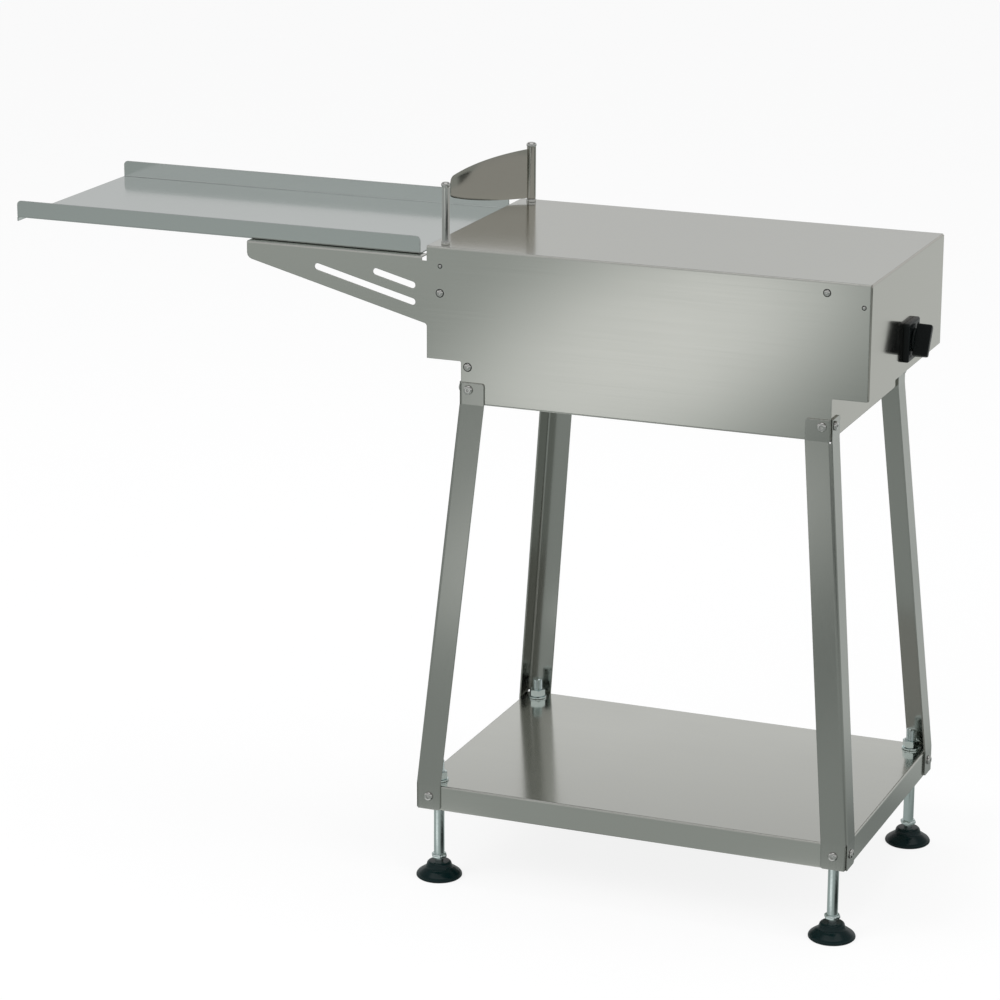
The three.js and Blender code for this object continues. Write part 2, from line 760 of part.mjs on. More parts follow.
// A levelling foot: stepped bell, threaded rod with its hexagon, and the nuts at the shelf
function footPad(x, y) {
  const bore = studRadius + gap;
  const bell = padShares.map(([radiusShare, heightShare]) => [
    THREE.MathUtils.lerp(footNeck, footRadius, radiusShare), footHeight * heightShare,
  ]);
  return revolved([[0, 0], ...bell, [bore, footHeight], [bore, studSocket], [0, studSocket]], x, y, 0,
    padSides);
}

function footRod(x, y) {
  const low = studSocket + gap;
  const neck = footHeight + collarLift + collarHeight / 2;
  const high = shelfHeight + rodAbove;
  const rod = revolved([
    [0, low], [studRadius, low], [studRadius, neck], [rodRadius, neck], [rodRadius, high - rodChamfer],
    [rodRadius - rodChamfer, high], [0, high],
  ], x, y, 0, smallSides);
  const collar = hexagon(collarFlats, x, y);
  return rod.add(alongZ(collar, footHeight + collarLift, neck + collarHeight / 2));
}

function nutSolid(x, y, low, washerLow) {
  const hex = alongZ(hexagon(nutFlats, x, y), low, low + nutHeight);
  const washer = cylinder(washerRadius, x, y, washerLow, washerLow + washerHeight, smallSides);
  return hex.add(washer)
    .subtract(cylinder(rodRadius + gap, x, y, low - overrun, low + nutHeight + overrun, smallSides));
}

// A revolved profile of [radius, height] pairs that stands on a screw's seat
function onSeat(profile, seat, sides) {
  const points = profile.map(([radius, length]) => new THREE.Vector2(radius, length));
  const turn = new THREE.Quaternion().setFromUnitVectors(new THREE.Vector3(0, 1, 0), seat.facing);
  const geometry = new THREE.LatheGeometry(points, sides).applyQuaternion(turn);
  return toSolid(geometry.translate(seat.x, seat.y, seat.z));
}

// A button-head screw
function legScrew(seat) {
  return onSeat([
    [0, -screwLength], [screwShankRadius, -screwLength], [screwShankRadius, 0], [screwHeadRadius, 0],
    [screwHeadRadius, screwHeadHeight * screwRimShare],
    [screwHeadRadius * screwCrownShare, screwHeadHeight], [0, screwHeadHeight],
  ], seat, tinySides);
}

// The seats of a leg's four screws: one in each face of its upper and of its lower tab
function legScrewSeats(sideX, sideY) {
  const ends = [
    ['upper', boxHalf, halfDepth, boxBottom + upperScrewRise, upperScrewInset],
    ['lower', shelfLength / 2, shelfDepth / 2, shelfHeight - lowerScrewDrop, lowerScrewInset],
  ];
  const outside = gap + legSheet + gap;
  return ends.flatMap(([end, x, y, z, inset]) => [
    { place: `${end}_outer`, x: sideX * (x - inset), y: sideY * (y + outside), z,
      facing: new THREE.Vector3(0, sideY, 0) },
    { place: `${end}_end`, x: sideX * (x + outside), y: sideY * (y - inset), z,
      facing: new THREE.Vector3(sideX, 0, 0) },
  ]);
}

function withScrewHoles(solid, sides = corners(1, 1)) {
  const radius = (screwShankRadius + gap) / Math.cos(Math.PI / holeSides);
  const hole = [[0, -overrun], [radius, -overrun], [radius, overrun], [0, overrun]];
  return sides.flatMap(([sideX, sideY]) => legScrewSeats(sideX, sideY))
    .reduce((body, seat) => body.subtract(onSeat(hole, seat, holeSides)), solid);
}

// The blower: the spiral in the front view, its outlet at the top left
function scrollOutline(wall, outletEnd) {
  const shape = new THREE.Shape();
  const endAngle = Math.PI * 2.5;
  const points = [];
  for (let step = 0; step <= scrollSteps; step += 1) {
    const share = step / scrollSteps;
    const angle = THREE.MathUtils.lerp(tongueAngle, endAngle, share);
    const radius = THREE.MathUtils.lerp(scrollStart, scrollEnd, share) + wall;
    points.push(new THREE.Vector2(fanX + radius * Math.cos(angle), fanZ + radius * Math.sin(angle)));
  }
  const tongueZ = tongueHeight() - wall;
  points.unshift(new THREE.Vector2(outletEnd, tongueZ));
  points.push(new THREE.Vector2(outletEnd, fanZ + scrollEnd + wall));
  shape.setFromPoints(points);
  return shape;
}

function tongueHeight() {
  return fanZ + scrollStart * Math.sin(tongueAngle);
}

function fanScroll() {
  const outer = alongY(scrollOutline(sheet, outletX), gap - scrollHalf, scrollHalf + sheet);
  const inner = alongY(scrollOutline(0, outletX - overrun), -scrollHalf - overrun, scrollHalf);
  const hole = [[0, 0], [motorPilot + gap, 0], [motorPilot + gap, 2 * overrun], [0, 2 * overrun]];
  return outer.subtract(inner).subtract(revolvedAlongY(hole, fanX, scrollHalf - overrun / 2, fanZ));
}

function inletPlate() {
  const plate = alongY(scrollOutline(sheet, outletX), -scrollHalf - sheet, -scrollHalf);
  const hole = [[0, 0], [inletRadius, 0], [inletRadius, 4 * overrun], [0, 4 * overrun]];
  const ring = revolvedAlongY([
    [inletRadius, inletLip], [inletRadius, -inletRound], [inletRadius + inletRound, -2 * inletRound],
    [inletRadius + inletRound + sheet, -2 * inletRound + sheet], [inletRadius + sheet, -inletRound + sheet],
    [inletRadius + sheet, inletLip], [inletRadius, inletLip],
  ], fanX, -scrollHalf, fanZ);
  return plate.subtract(revolvedAlongY(hole, fanX, -scrollHalf - 2 * overrun, fanZ)).add(ring);
}

// The wheel: forward-curved blades between a back plate with its hub and a front ring
function fanWheel() {
  const back = scrollHalf - (scrollWidth - wheelWidth) / 2;
  const front = back - wheelWidth;
  const disc = revolvedAlongY([
    [shaftRadius + gap, -hubLength], [hubRadius, -hubLength], [hubRadius, -wheelPlate],
    [wheelRadius, -wheelPlate], [wheelRadius, 0], [shaftRadius + gap, 0], [shaftRadius + gap, -hubLength],
  ], fanX, back, fanZ);
  const ring = revolvedAlongY([
    [wheelEye, 0], [wheelRadius, 0], [wheelRadius, wheelRim], [wheelEye, wheelRim], [wheelEye, 0],
  ], fanX, front, fanZ);
  const bladeRadius = (wheelRadius - wheelEye) / 2 - bladeThickness / 2;
  const blade = new THREE.Shape();
  blade.absarc(0, 0, bladeRadius, -Math.PI / 2, Math.PI / 2, false);
  blade.absarc(0, 0, bladeRadius - bladeThickness, Math.PI / 2, -Math.PI / 2, true);
  const middle = (wheelRadius + wheelEye) / 2;
  const blades = Array.from({ length: bladeCount }, (_, count) => {
    const geometry = new THREE.ExtrudeGeometry(blade, {
      depth: wheelWidth - wheelPlate, bevelEnabled: false, curveSegments: bladeSteps,
    });
    geometry.rotateZ(bladeSweep).translate(0, middle, 0).rotateZ(count * Math.PI * 2 / bladeCount);
    return toSolid(geometry.rotateX(Math.PI / 2).translate(fanX, back - wheelPlate / 2, fanZ));
  });
  return joined([disc, ring, ...blades]);
}

function motorShaft() {
  const from = scrollHalf - (scrollWidth - wheelWidth) / 2 - hubLength - shaftBeyondHub;
  const to = motorFace() + shaftInMotor;
  const profile = [[0, 0], [shaftRadius, 0], [shaftRadius, to - from], [0, to - from]];
  return revolvedAlongY(profile, fanX, from, fanZ, smallSides);
}

function motorFace() {
  return scrollHalf + sheet + 2 * gap + bracketPlate;
}

function motor() {
  const bore = shaftRadius + gap;
  const body = motorLength - motorBell;
  return revolvedAlongY([
    [bore, 0], [motorBellRadius, 0], [motorRadius, motorBell / 2], [motorRadius, body],
    [motorBellRadius, motorLength], [0, motorLength], [0, shaftInMotor + gap], [bore, shaftInMotor + gap],
    [bore, 0],
  ], fanX, motorFace(), fanZ);
}

// The motor's bracket: an upright plate between blower and motor, folded to a foot on the floor
function motorBracket() {
  const floor = boxBottom + 2 * sheet + 2 * gap + bracketPlate / 2;
  const wall = scrollHalf + sheet + gap + bracketPlate / 2;
  const line = [[wall, fanZ + motorBellRadius], [wall, floor], [wall + motorFoot, floor]];
  const half = motorPlateWidth / 2;
  const bracket = alongX(folded(line, bracketPlate, bracketPlate), fanX - half, fanX + half);
  const hole = [[0, 0], [motorPilot, 0], [motorPilot, 2 * overrun], [0, 2 * overrun]];
  return bracket.subtract(revolvedAlongY(hole, fanX, wall - overrun, fanZ));
}

// The duct: narrow and tall at the blower, wide and thin where it blows along the tray
function ductBody(inset, reach) {
  const tall = [tongueHeight() - sheet + inset, fanZ + scrollEnd + sheet - inset];
  const thin = [insideTop - ductMouthHeight + inset, insideTop - inset];
  const wide = ductMouth / 2 - inset;
  const narrow = scrollHalf + sheet - inset;
  const from = -halfLength;
  const to = outletX - gap;
  const between = THREE.MathUtils.lerp;
  const rings = [-reach, 1 + reach].map((share) => {
    const x = between(from, to, share);
    const halfY = between(wide, narrow, share);
    const [low, high] = [0, 1].map((edge) => between(thin[edge], tall[edge], share));
    return [[-halfY, low], [halfY, low], [halfY, high], [-halfY, high]]
      .map(([y, z]) => new THREE.Vector3(y, z, x));
  });
  return lofted(rings, sectionAxes());
}

function airDuct() {
  return ductBody(0, 0).subtract(ductBody(sheet, ductCutShare));
}

// The rotary switch: contact block inside, square bezel outside, and a bar knob on its shaft
function switchBezel() {
  const plate = rounded(switchSize, switchSize, switchCorner, switchY, switchZ);
  const bore = switchShaftRadius + gap;
  const hole = [[0, 0], [bore, 0], [bore, 2 * switchDepth], [0, 2 * switchDepth]];
  return alongX(plate, bezelX, bezelX + switchDepth)
    .subtract(revolvedAlongX(hole, bezelX - switchDepth / 2, switchY, switchZ, smallSides));
}

function switchBlock() {
  const outline = rounded(switchBody, switchBody, switchCorner, switchY, switchZ);
  const high = halfLength - sheet - gap;
  const bore = switchShaftRadius + gap;
  const hole = [[0, 0], [bore, 0], [bore, switchBodyDepth], [0, switchBodyDepth]];
  return alongX(outline, high - switchBodyDepth, high)
    .subtract(revolvedAlongX(hole, high - switchBodyDepth / 2, switchY, switchZ, smallSides));
}

function switchShaft() {
  const from = halfLength - sheet - gap - switchBodyDepth / 2 + gap;
  const to = knobX + knobBaseHeight;
  const profile = [[0, 0], [switchShaftRadius, 0], [switchShaftRadius, to - from], [0, to - from]];
  return revolvedAlongX(profile, from, switchY, switchZ, smallSides);
}

// At rest the knob's bar leans back from upright
function switchKnob() {
  const base = revolvedAlongX([
    [0, 0], [knobBase, 0], [knobBase, knobBaseHeight - knobBaseChamfer],
    [knobBase - knobBaseChamfer, knobBaseHeight], [0, knobBaseHeight],
  ], knobX, switchY, switchZ);
  const bar = new THREE.Shape();
  bar.moveTo(-knobWidth / 2, knobX + knobBaseHeight / 2);
  bar.lineTo(knobWidth / 2, knobX + knobBaseHeight / 2);
  bar.lineTo(knobTipWidth / 2, knobEnd);
  bar.lineTo(-knobTipWidth / 2, knobEnd);
  const axes = new THREE.Matrix4().makeBasis(
    new THREE.Vector3(0, 1, 0), new THREE.Vector3(1, 0, 0), new THREE.Vector3(0, 0, -1));
  const turned = (geometry) => toSolid(geometry.rotateX(-knobTurn).translate(0, switchY, switchZ));
  const handle = turned(extruded(bar, knobLength).translate(0, 0, -knobLength / 2).applyMatrix4(axes));
  const side = turned(extruded(rounded(2 * knobEnd, knobLength, knobRounding), 2 * knobWidth)
    .rotateX(Math.PI / 2).translate(0, knobWidth, 0));
  const bore = switchShaftRadius + gap;
  const deep = overrun + knobBaseHeight + gap;
  const socket = [[0, 0], [bore, 0], [bore, deep], [0, deep]];
  return base.add(handle.intersect(side))
    .subtract(revolvedAlongX(socket, knobX - overrun, switchY, switchZ, smallSides));
}

function cableGland() {
  const inside = sheet + glandNut + gap;
  const profile = [
    [glandBore, -inside], [glandRadius, -inside], [glandRadius, gap], [glandHead, gap],
    [glandHead, glandOut * glandCapShare], [glandHead * glandTaperShare, glandOut],
    [glandBore, glandOut], [glandBore, -inside],
  ];
  return revolvedAlongY(profile, glandX, halfDepth, top - glandDrop, smallSides);
}

piece('housing_shell', housingShell(), brushedSteel);
piece('left_end_panel', leftEndPanel(), brushedSteel);
piece('right_end_panel', rightEndPanel(), brushedSteel);
piece('bottom_plate', bottomPlate(), brushedSteel);
piece('bag_tray', bagTray(), brushedSteel);
piece('front_upright', upright(uprightRadius, frontHeadRadius, -1), polishedSteel);
piece('back_upright', upright(wingPinRadius, backHeadRadius, 1), polishedSteel);
piece('front_upright_nut', uprightNut(uprightRadius, -1), zincSteel);
piece('back_upright_nut', uprightNut(wingPinRadius, 1), zincSteel);
piece('guide_wing', guideWing(), polishedSteel);
piece('shelf', shelf(), brushedSteel);

const cornerNames = ['front_left', 'front_right', 'back_right', 'back_left'];
corners(1, 1).forEach(([sideX, sideY], corner) => {
  const name = cornerNames[corner];
  const x = sideX * footX;
  const y = sideY * footY;
  piece(`leg_${name}`, leg(sideX, sideY), legSteel);
  piece(`foot_pad_${name}`, footPad(x, y), footPlastic);
  piece(`foot_rod_${name}`, footRod(x, y), zincSteel);
  piece(`upper_nut_${name}`,
    nutSolid(x, y, shelfHeight + gap + washerHeight, shelfHeight + gap), zincSteel);
  const under = shelfHeight - sheet - gap;
  piece(`lower_nut_${name}`,
    nutSolid(x, y, under - washerHeight - nutHeight, under - washerHeight), zincSteel);
  for (const seat of legScrewSeats(sideX, sideY)) {
    piece(`screw_${name}_${seat.place}`, legScrew(seat), zincSteel);
  }
});

piece('fan_scroll', fanScroll(), galvanised);
piece('fan_inlet_plate', inletPlate(), galvanised);
piece('fan_wheel', fanWheel(), galvanised);
piece('motor_shaft', motorShaft(), zincSteel);
piece('motor', motor(), motorPaint);
piece('motor_bracket', motorBracket(), galvanised);
piece('air_duct', airDuct(), galvanised);
piece('switch_bezel', switchBezel(), blackPlastic);
piece('switch_block', switchBlock(), blackPlastic);
piece('switch_shaft', switchShaft(), zincSteel);
piece('switch_knob', switchKnob(), blackPlastic);
piece('cable_gland', cableGland(), blackPlastic);

// The origin goes under the middle of the outline
group.position.x = -(trayLeft + knobEnd) / 2;

export default group;
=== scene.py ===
"""A stainless steel table for bagging bread, with its finishes, small fasteners, light and camera.

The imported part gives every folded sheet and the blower. The turned and moulded pieces are built finer
here and stand for their plain nodes: posts, wing, levelling feet, nuts, screws, switch, cable gland.
The rivets on the housing are built here only.
Pieces are sized in millimetres in the part's own frame, and their meshes are written in metres.
Materials, floor, lamps and camera are in metres.
"""

import math

import bpy  # noqa: E402
from mathutils import Matrix, Vector  # noqa: E402


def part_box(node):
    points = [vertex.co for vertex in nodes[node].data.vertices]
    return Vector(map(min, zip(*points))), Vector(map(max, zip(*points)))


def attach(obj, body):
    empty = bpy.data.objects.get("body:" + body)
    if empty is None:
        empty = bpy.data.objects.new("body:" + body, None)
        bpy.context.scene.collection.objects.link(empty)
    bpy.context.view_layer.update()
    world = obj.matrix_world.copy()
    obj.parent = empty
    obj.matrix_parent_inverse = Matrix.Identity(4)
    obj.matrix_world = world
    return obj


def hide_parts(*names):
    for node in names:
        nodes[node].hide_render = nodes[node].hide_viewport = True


MM = 0.001
CORNERS = ("front_left", "front_right", "back_right", "back_left")

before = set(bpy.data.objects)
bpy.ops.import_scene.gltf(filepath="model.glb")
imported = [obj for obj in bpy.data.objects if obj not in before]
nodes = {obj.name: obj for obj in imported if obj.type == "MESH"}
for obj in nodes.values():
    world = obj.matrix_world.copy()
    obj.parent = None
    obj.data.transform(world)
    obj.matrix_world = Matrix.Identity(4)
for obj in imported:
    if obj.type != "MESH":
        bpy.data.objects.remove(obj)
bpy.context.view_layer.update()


# Materials

# Where a colour mix node keeps its two colours and its result
COLOUR_A, COLOUR_B, COLOUR_RESULT = 6, 7, 2
# Nearly all values of a noise texture lie between these
NOISE_LOW, NOISE_HIGH = 0.3, 0.7
BEVEL_SAMPLES = 6
# Brushed sheet: noise scales per metre, the clouds' share in the tone, and the relief of the grain
GRAIN_ALONG, GRAIN_ACROSS = 4.0, 900.0
CLOUD_SCALE, CLOUD_SHARE = 3.0, 0.4
SHEET_TONE, SHEET_RELIEF, SHEET_DEPTH, SHEET_EDGE = 0.05, 0.12, 0.00002, 0.0014
# Turned and plated steel
SPOT_SCALE = 160.0
TURNED_TONE, TURNED_RELIEF, TURNED_DEPTH, TURNED_EDGE = 0.06, 0.05, 0.0001, 0.0004
# Galvanised sheet, whose zinc isn't quite bare metal
CRYSTAL_SCALE = 90.0
ZINC_METAL = 0.9
# Moulded plastic and paint
GRAIN_SCALE, WEAR_SCALE = 900.0, 25.0
MOULDED_RELIEF, MOULDED_DEPTH, MOULDED_EDGE = 0.35, 0.00004, 0.0005


class Graph:
    """The node tree of a material or a world, built node by node."""

    def __init__(self, owner, place="Object"):
        owner.use_nodes = True
        self.owner = owner
        self.tree = owner.node_tree
        self.tree.nodes.clear()
        self.place = self.add("ShaderNodeTexCoord").outputs[place]

    def add(self, kind, sockets=None, **settings):
        node = self.tree.nodes.new(kind)
        for key, value in settings.items():
            setattr(node, key, value)
        for key, value in (sockets or {}).items():
            if isinstance(value, bpy.types.NodeSocket):
                self.tree.links.new(value, node.inputs[key])
            else:
                node.inputs[key].default_value = value
        return node

    def noise(self, scale, detail, roughness=0.6, stretch=(1.0, 1.0, 1.0)):
        """Noise between 0 and 1, drawn out along the axes where stretch is small."""
        mapped = self.add("ShaderNodeMapping", {"Vector": self.place, "Scale": stretch})
        made = self.add("ShaderNodeTexNoise", {
            "Vector": mapped.outputs["Vector"], "Scale": scale, "Detail": detail, "Roughness": roughness,
        })
        return made.outputs["Fac"]

    def between(self, factor, low, high, start=NOISE_LOW, end=NOISE_HIGH):
        """A value that goes from low to high as factor goes from start to end."""
        made = self.add("ShaderNodeMapRange", {
            "Value": factor, "From Min": start, "From Max": end, "To Min": low, "To Max": high,
        })
        return made.outputs["Result"]

    def mix(self, share, first, second):
        """A value between first and second, with that share of the second."""
        return self.add("ShaderNodeMix", {"Factor": share, "A": first, "B": second}).outputs["Result"]

    def mix_colours(self, share, first, second):
        """A colour between first and second, with that share of the second."""
        made = self.add("ShaderNodeMix", {
            "Factor": share, COLOUR_A: first, COLOUR_B: second,
        }, data_type="RGBA")
        return made.outputs[COLOUR_RESULT]

    def tint(self, factor, dark, light):
        """A colour that follows factor from dark to light."""
        return self.mix_colours(factor, (*dark, 1.0), (*light, 1.0))

    def relief(self, height, strength, distance, edge):
        """Fine relief, over edges rounded by that radius."""
        sockets = {"Height": height, "Strength": strength, "Distance": distance}
        if edge:
            bevel = self.add("ShaderNodeBevel", {"Radius": edge}, samples=BEVEL_SAMPLES)
            sockets["Normal"] = bevel.outputs["Normal"]
        return self.add("ShaderNodeBump", sockets).outputs["Normal"]

    def finish(self, sockets):
        """Closes a material with one shader that has those settings."""
        shader = self.add("ShaderNodeBsdfPrincipled", sockets)
        self.add("ShaderNodeOutputMaterial", {"Surface": shader.outputs["BSDF"]})
        return self.owner


def material_graph(name):
    return Graph(bpy.data.materials.new(name))


def grey(level):
    return (level, level, level)


def shade(colour, factor):
    return tuple(min(1.0, value * factor) for value in colour)


def sheet_steel(name, colour, roughness, grain, edge=SHEET_EDGE):
    """Stainless sheet with a fine grain along one axis and faint clouds."""
    graph = material_graph(name)
    stretch = tuple(GRAIN_ALONG if axis == grain else GRAIN_ACROSS for axis in "xyz")
    lines = graph.noise(1.0, 4.0, 0.7, stretch)
    clouds = graph.noise(CLOUD_SCALE, 2.0)
    both = graph.mix(CLOUD_SHARE, lines, clouds)
    return graph.finish({
        "Base Color": graph.tint(both, shade(colour, 1 - SHEET_TONE), shade(colour, 1 + SHEET_TONE)),
        "Metallic": 1.0,
        "Roughness": graph.between(both, *roughness),
        "Normal": graph.relief(lines, SHEET_RELIEF, SHEET_DEPTH, edge),
    })


def turned_steel(name, colour, roughness):
    """Turned or plated steel with soft spots."""
    graph = material_graph(name)
    spots = graph.noise(SPOT_SCALE, 3.0)
    return graph.finish({
        "Base Color": graph.tint(spots, shade(colour, 1 - TURNED_TONE), shade(colour, 1 + TURNED_TONE)),
        "Metallic": 1.0,
        "Roughness": graph.between(spots, *roughness),
        "Normal": graph.relief(spots, TURNED_RELIEF, TURNED_DEPTH, TURNED_EDGE),
    })


def zinc_sheet(name, colour, roughness):
    """Galvanised sheet with its broad crystals."""
    graph = material_graph(name)
    cells = graph.add("ShaderNodeTexVoronoi", {"Vector": graph.place, "Scale": CRYSTAL_SCALE})
    tone = graph.add("ShaderNodeSeparateColor", {"Color": cells.outputs["Color"]}).outputs["Red"]
    return graph.finish({
        "Base Color": graph.tint(tone, shade(colour, 0.85), shade(colour, 1.1)),
        "Metallic": ZINC_METAL,
        "Roughness": graph.between(tone, *roughness, 0.0, 1.0),
    })


def moulded(name, colour, roughness, specular=0.5):
    """Moulded plastic or paint with a fine even texture."""
    graph = material_graph(name)
    grains = graph.noise(GRAIN_SCALE, 2.0)
    wear = graph.noise(WEAR_SCALE, 3.0)
    return graph.finish({
        "Base Color": graph.tint(wear, shade(colour, 0.85), shade(colour, 1.2)),
        "Roughness": graph.between(wear, *roughness),
        "Specular IOR Level": specular,
        "Normal": graph.relief(grains, MOULDED_RELIEF, MOULDED_DEPTH, MOULDED_EDGE),
    })


# Colour, lowest and highest roughness, and the axis of the grain
finishes = {
    # The brushed sheets are one steel. Their colours are painted light: cool light on the housing, lighter
    # and bluer on the tray, warm light on the end panels
    "along": sheet_steel("brushed_sheet_along_painted_cool_light", (0.6, 0.607, 0.568), (0.1, 0.17), "x"),
    "across": sheet_steel("brushed_sheet_across_painted_warm_light", (0.56, 0.545, 0.5), (0.08, 0.15), "y"),
    "tray": sheet_steel("brushed_sheet_tray_painted_cool_light", (0.62, 0.66, 0.645), (0.1, 0.17), "x"),
    # The legs' darker colour is painted shade under the table top
    "leg": sheet_steel("leg_sheet", (0.455, 0.465, 0.435), (0.12, 0.2), "z"),
    "polished": turned_steel("polished_steel", (0.62, 0.62, 0.6), (0.05, 0.1)),
    # The wing's darker, browner colour is a painted reflection of bread that isn't built
    "wing": sheet_steel("polished_wing_painted_reflection", (0.46, 0.445, 0.4), (0.08, 0.16), "z", edge=0.0),
    "zinc": turned_steel("zinc_steel", (0.68, 0.77, 0.76), (0.06, 0.13)),
    "galvanised": zinc_sheet("galvanised_sheet", (0.4, 0.42, 0.43), (0.35, 0.5)),
    "paint": moulded("motor_paint", (0.05, 0.055, 0.06), (0.35, 0.45)),
    "black": moulded("black_plastic", (0.003, 0.0045, 0.0045), (0.24, 0.34), 0.2),
    "foot": moulded("foot_plastic", (0.002, 0.011, 0.0115), (0.14, 0.24), 0.25),
}
# The first start that fits a node's name gives its finish, and all others are sheet along x
NODE_FINISHES = (
    ("leg_", "leg"), ("bag_tray", "tray"), ("left_end_panel", "across"), ("right_end_panel", "across"),
    ("fan_", "galvanised"), ("air_duct", "galvanised"), ("motor_bracket", "galvanised"),
    ("motor_shaft", "zinc"), ("motor", "paint"), ("front_upright", "zinc"), ("back_upright", "zinc"),
    ("switch_shaft", "zinc"), ("switch_", "black"),
)


def finish_for(node):
    return next((finish for start, finish in NODE_FINISHES if node.startswith(start)), "along")


for name, node in nodes.items():
    node.data.materials.clear()
    node.data.materials.append(finishes[finish_for(name)])


# Rings, skins and pieces

# Points in a ring, and in a wide ring
ROUND, FINE = 48, 72
# Radius of the flat end of a turned shape, and of a wide one
CAP, WIDE_CAP = 1.0, 2.0
FILLET_STEPS = 4
THREAD_PITCH, THREAD_DEPTH = 2.0, 0.9
RINGS_PER_TURN = 6
# Edges that turn by more degrees than this stay sharp
SMOOTH_ANGLE = 32.0


def polar(reach, angle, height=0.0):
    """The point at that distance from the axis, in that direction."""
    return Vector((reach * math.cos(angle), reach * math.sin(angle), height))


def circle(radius, height, sides=ROUND):
    return [polar(radius, step * math.tau / sides, height) for step in range(sides)]


def circles(profile, sides=ROUND):
    return [circle(radius, height, sides) for radius, height in profile]


def hexed(flats, radius, height, slope=0.0):
    """A hexagon ring. With a slope, what lies beyond the radius falls below the height, as on a nut's
    chamfer. With a negative slope it rises."""
    ring = []
    for step in range(ROUND):
        angle = step * math.tau / ROUND
        reach = flats / 2 / math.cos(angle % (math.pi / 3) - math.pi / 6)
        ring.append(polar(reach, angle, height - (reach - radius) * slope))
    return ring


def softened(profile):
    """A profile of (radius, height) or (radius, height, fillet), with those fillets rounded."""
    points = [Vector(point[:2]) for point in profile]
    made = []
    for index, point in enumerate(points):
        fillet = profile[index][2] if len(profile[index]) > 2 else 0.0
        if not fillet:
            made.append(tuple(point))
            continue
        start = point + (points[index - 1] - point).normalized() * fillet
        end = point + (points[index + 1] - point).normalized() * fillet
        for step in range(FILLET_STEPS + 1):
            share = step / FILLET_STEPS
            made.append(tuple(start.lerp(point, share).lerp(point.lerp(end, share), share)))
    return made


def thread(radius, low, high, depth=THREAD_DEPTH):
    """Rings of a screw thread that runs out at both ends."""
    rings = []
    count = round((high - low) / THREAD_PITCH * RINGS_PER_TURN)
    for row in range(count + 1):
        height = low + (high - low) * row / count
        fade = min(1.0, (height - low) / THREAD_PITCH, (high - height) / THREAD_PITCH)
        ring = []
        for step in range(ROUND):
            turn = (height / THREAD_PITCH - step / ROUND) % 1.0
            reach = radius - depth * fade * abs(2 * turn - 1)
            ring.append(polar(reach, step * math.tau / ROUND, height))
        rings.append(ring)
    return rings


def skin(rings, place):
    """Vertices and faces of a skin over rings, closed at both ends."""
    sides = len(rings[0])
    vertices = [place @ point for ring in rings for point in ring]
    faces = []
    for row in range(len(rings) - 1):
        low, high = row * sides, (row + 1) * sides
        for step in range(sides):
            after = (step + 1) % sides
            faces.append((low + step, low + after, high + after, high + step))
    faces.append(tuple(reversed(range(sides))))
    faces.append(tuple(range(len(vertices) - sides, len(vertices))))
    return vertices, faces


def tube(rings, place):
    """A skin over rings that come back to where they start, so it has no ends."""
    vertices, faces = skin(rings, place)
    return vertices, faces[:-2]


def piece(name, parts, finish, body, stands_for=(), smooth=SMOOTH_ANGLE):
    """One mesh object from skins, in the part's frame, that moves with a body."""
    vertices, faces = [], []
    for some_vertices, some_faces in parts:
        first = len(vertices)
        vertices.extend(vertex * MM for vertex in some_vertices)
        faces.extend(tuple(first + index for index in face) for face in some_faces)
    mesh = bpy.data.meshes.new(name)
    mesh.from_pydata(vertices, [], faces)
    mesh.validate()
    mesh.shade_smooth()
    mesh.set_sharp_from_angle(angle=math.radians(smooth))
    mesh.materials.append(finishes[finish])
    made = bpy.data.objects.new(name, mesh)
    bpy.context.scene.collection.objects.link(made)
    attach(made, body)
    if stands_for:
        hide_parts(*stands_for)


def standing(x, y, z=0.0):
    return Matrix.Translation((x, y, z))


def facing(direction, x, y, z):
    """The place of a piece whose own Z axis points in that direction."""
    return standing(x, y, z) @ Vector(direction).to_track_quat("Z", "Y").to_matrix().to_4x4()


def corners_of(node):
    """The lowest and highest corner of a node, in millimetres."""
    low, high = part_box(node)
    return low / MM, high / MM


def middle_of(node):
    """The middle of a node's box, in millimetres."""
    low, high = corners_of(node)
    return (low + high) / 2


# Guide posts and wing

TABLE_TOP = corners_of("housing_shell")[1].z
FRONT_POST_RADIUS, BACK_POST_RADIUS = 6.0, 5.0
# Heights above the table top
SHOULDER_LOW, SHOULDER_HIGH, SHOULDER_END = 0.3, 4.2, 6.0
BARREL_LOW, BARREL_HIGH = 5.3, 89.2
# Of a post's head: its height, the height of its crown, and how far the crown draws in
HEAD_HEIGHT, CROWN_HEIGHT, CROWN_INSET = 7.5, 2.2, 2.6
# The wing's barrel: its gap round the post, its wall and its softened edge
BARREL_GAP, BARREL_WALL, BARREL_EDGE = 0.3, 2.0, 0.4
# The wing in plan: length, height of its arc, and the direction that it points in
WING_CHORD, WING_BULGE = 157.0, 17.0
WING_ANGLE = math.radians(237.2)
# Its upper and lower edge: heights above the table top at the post and at the tip, and between them
# the one that draws the curve
WING_UPPER = (86.0, 74.0, 56.0)
WING_LOWER = (6.0, 0.0, 24.5)
# The rounding of its tip: its length, also its height at the upper corner, and its height at the lower
WING_TIP, WING_TIP_RISE = 9.0, 3.0
WING_HALF_THICKNESS, WING_ROUNDING = 1.0, 0.4
WING_COLUMNS, WING_ROWS = 56, 10
# Below 1 this crowds the columns more towards the tip
WING_CROWDING = 0.8


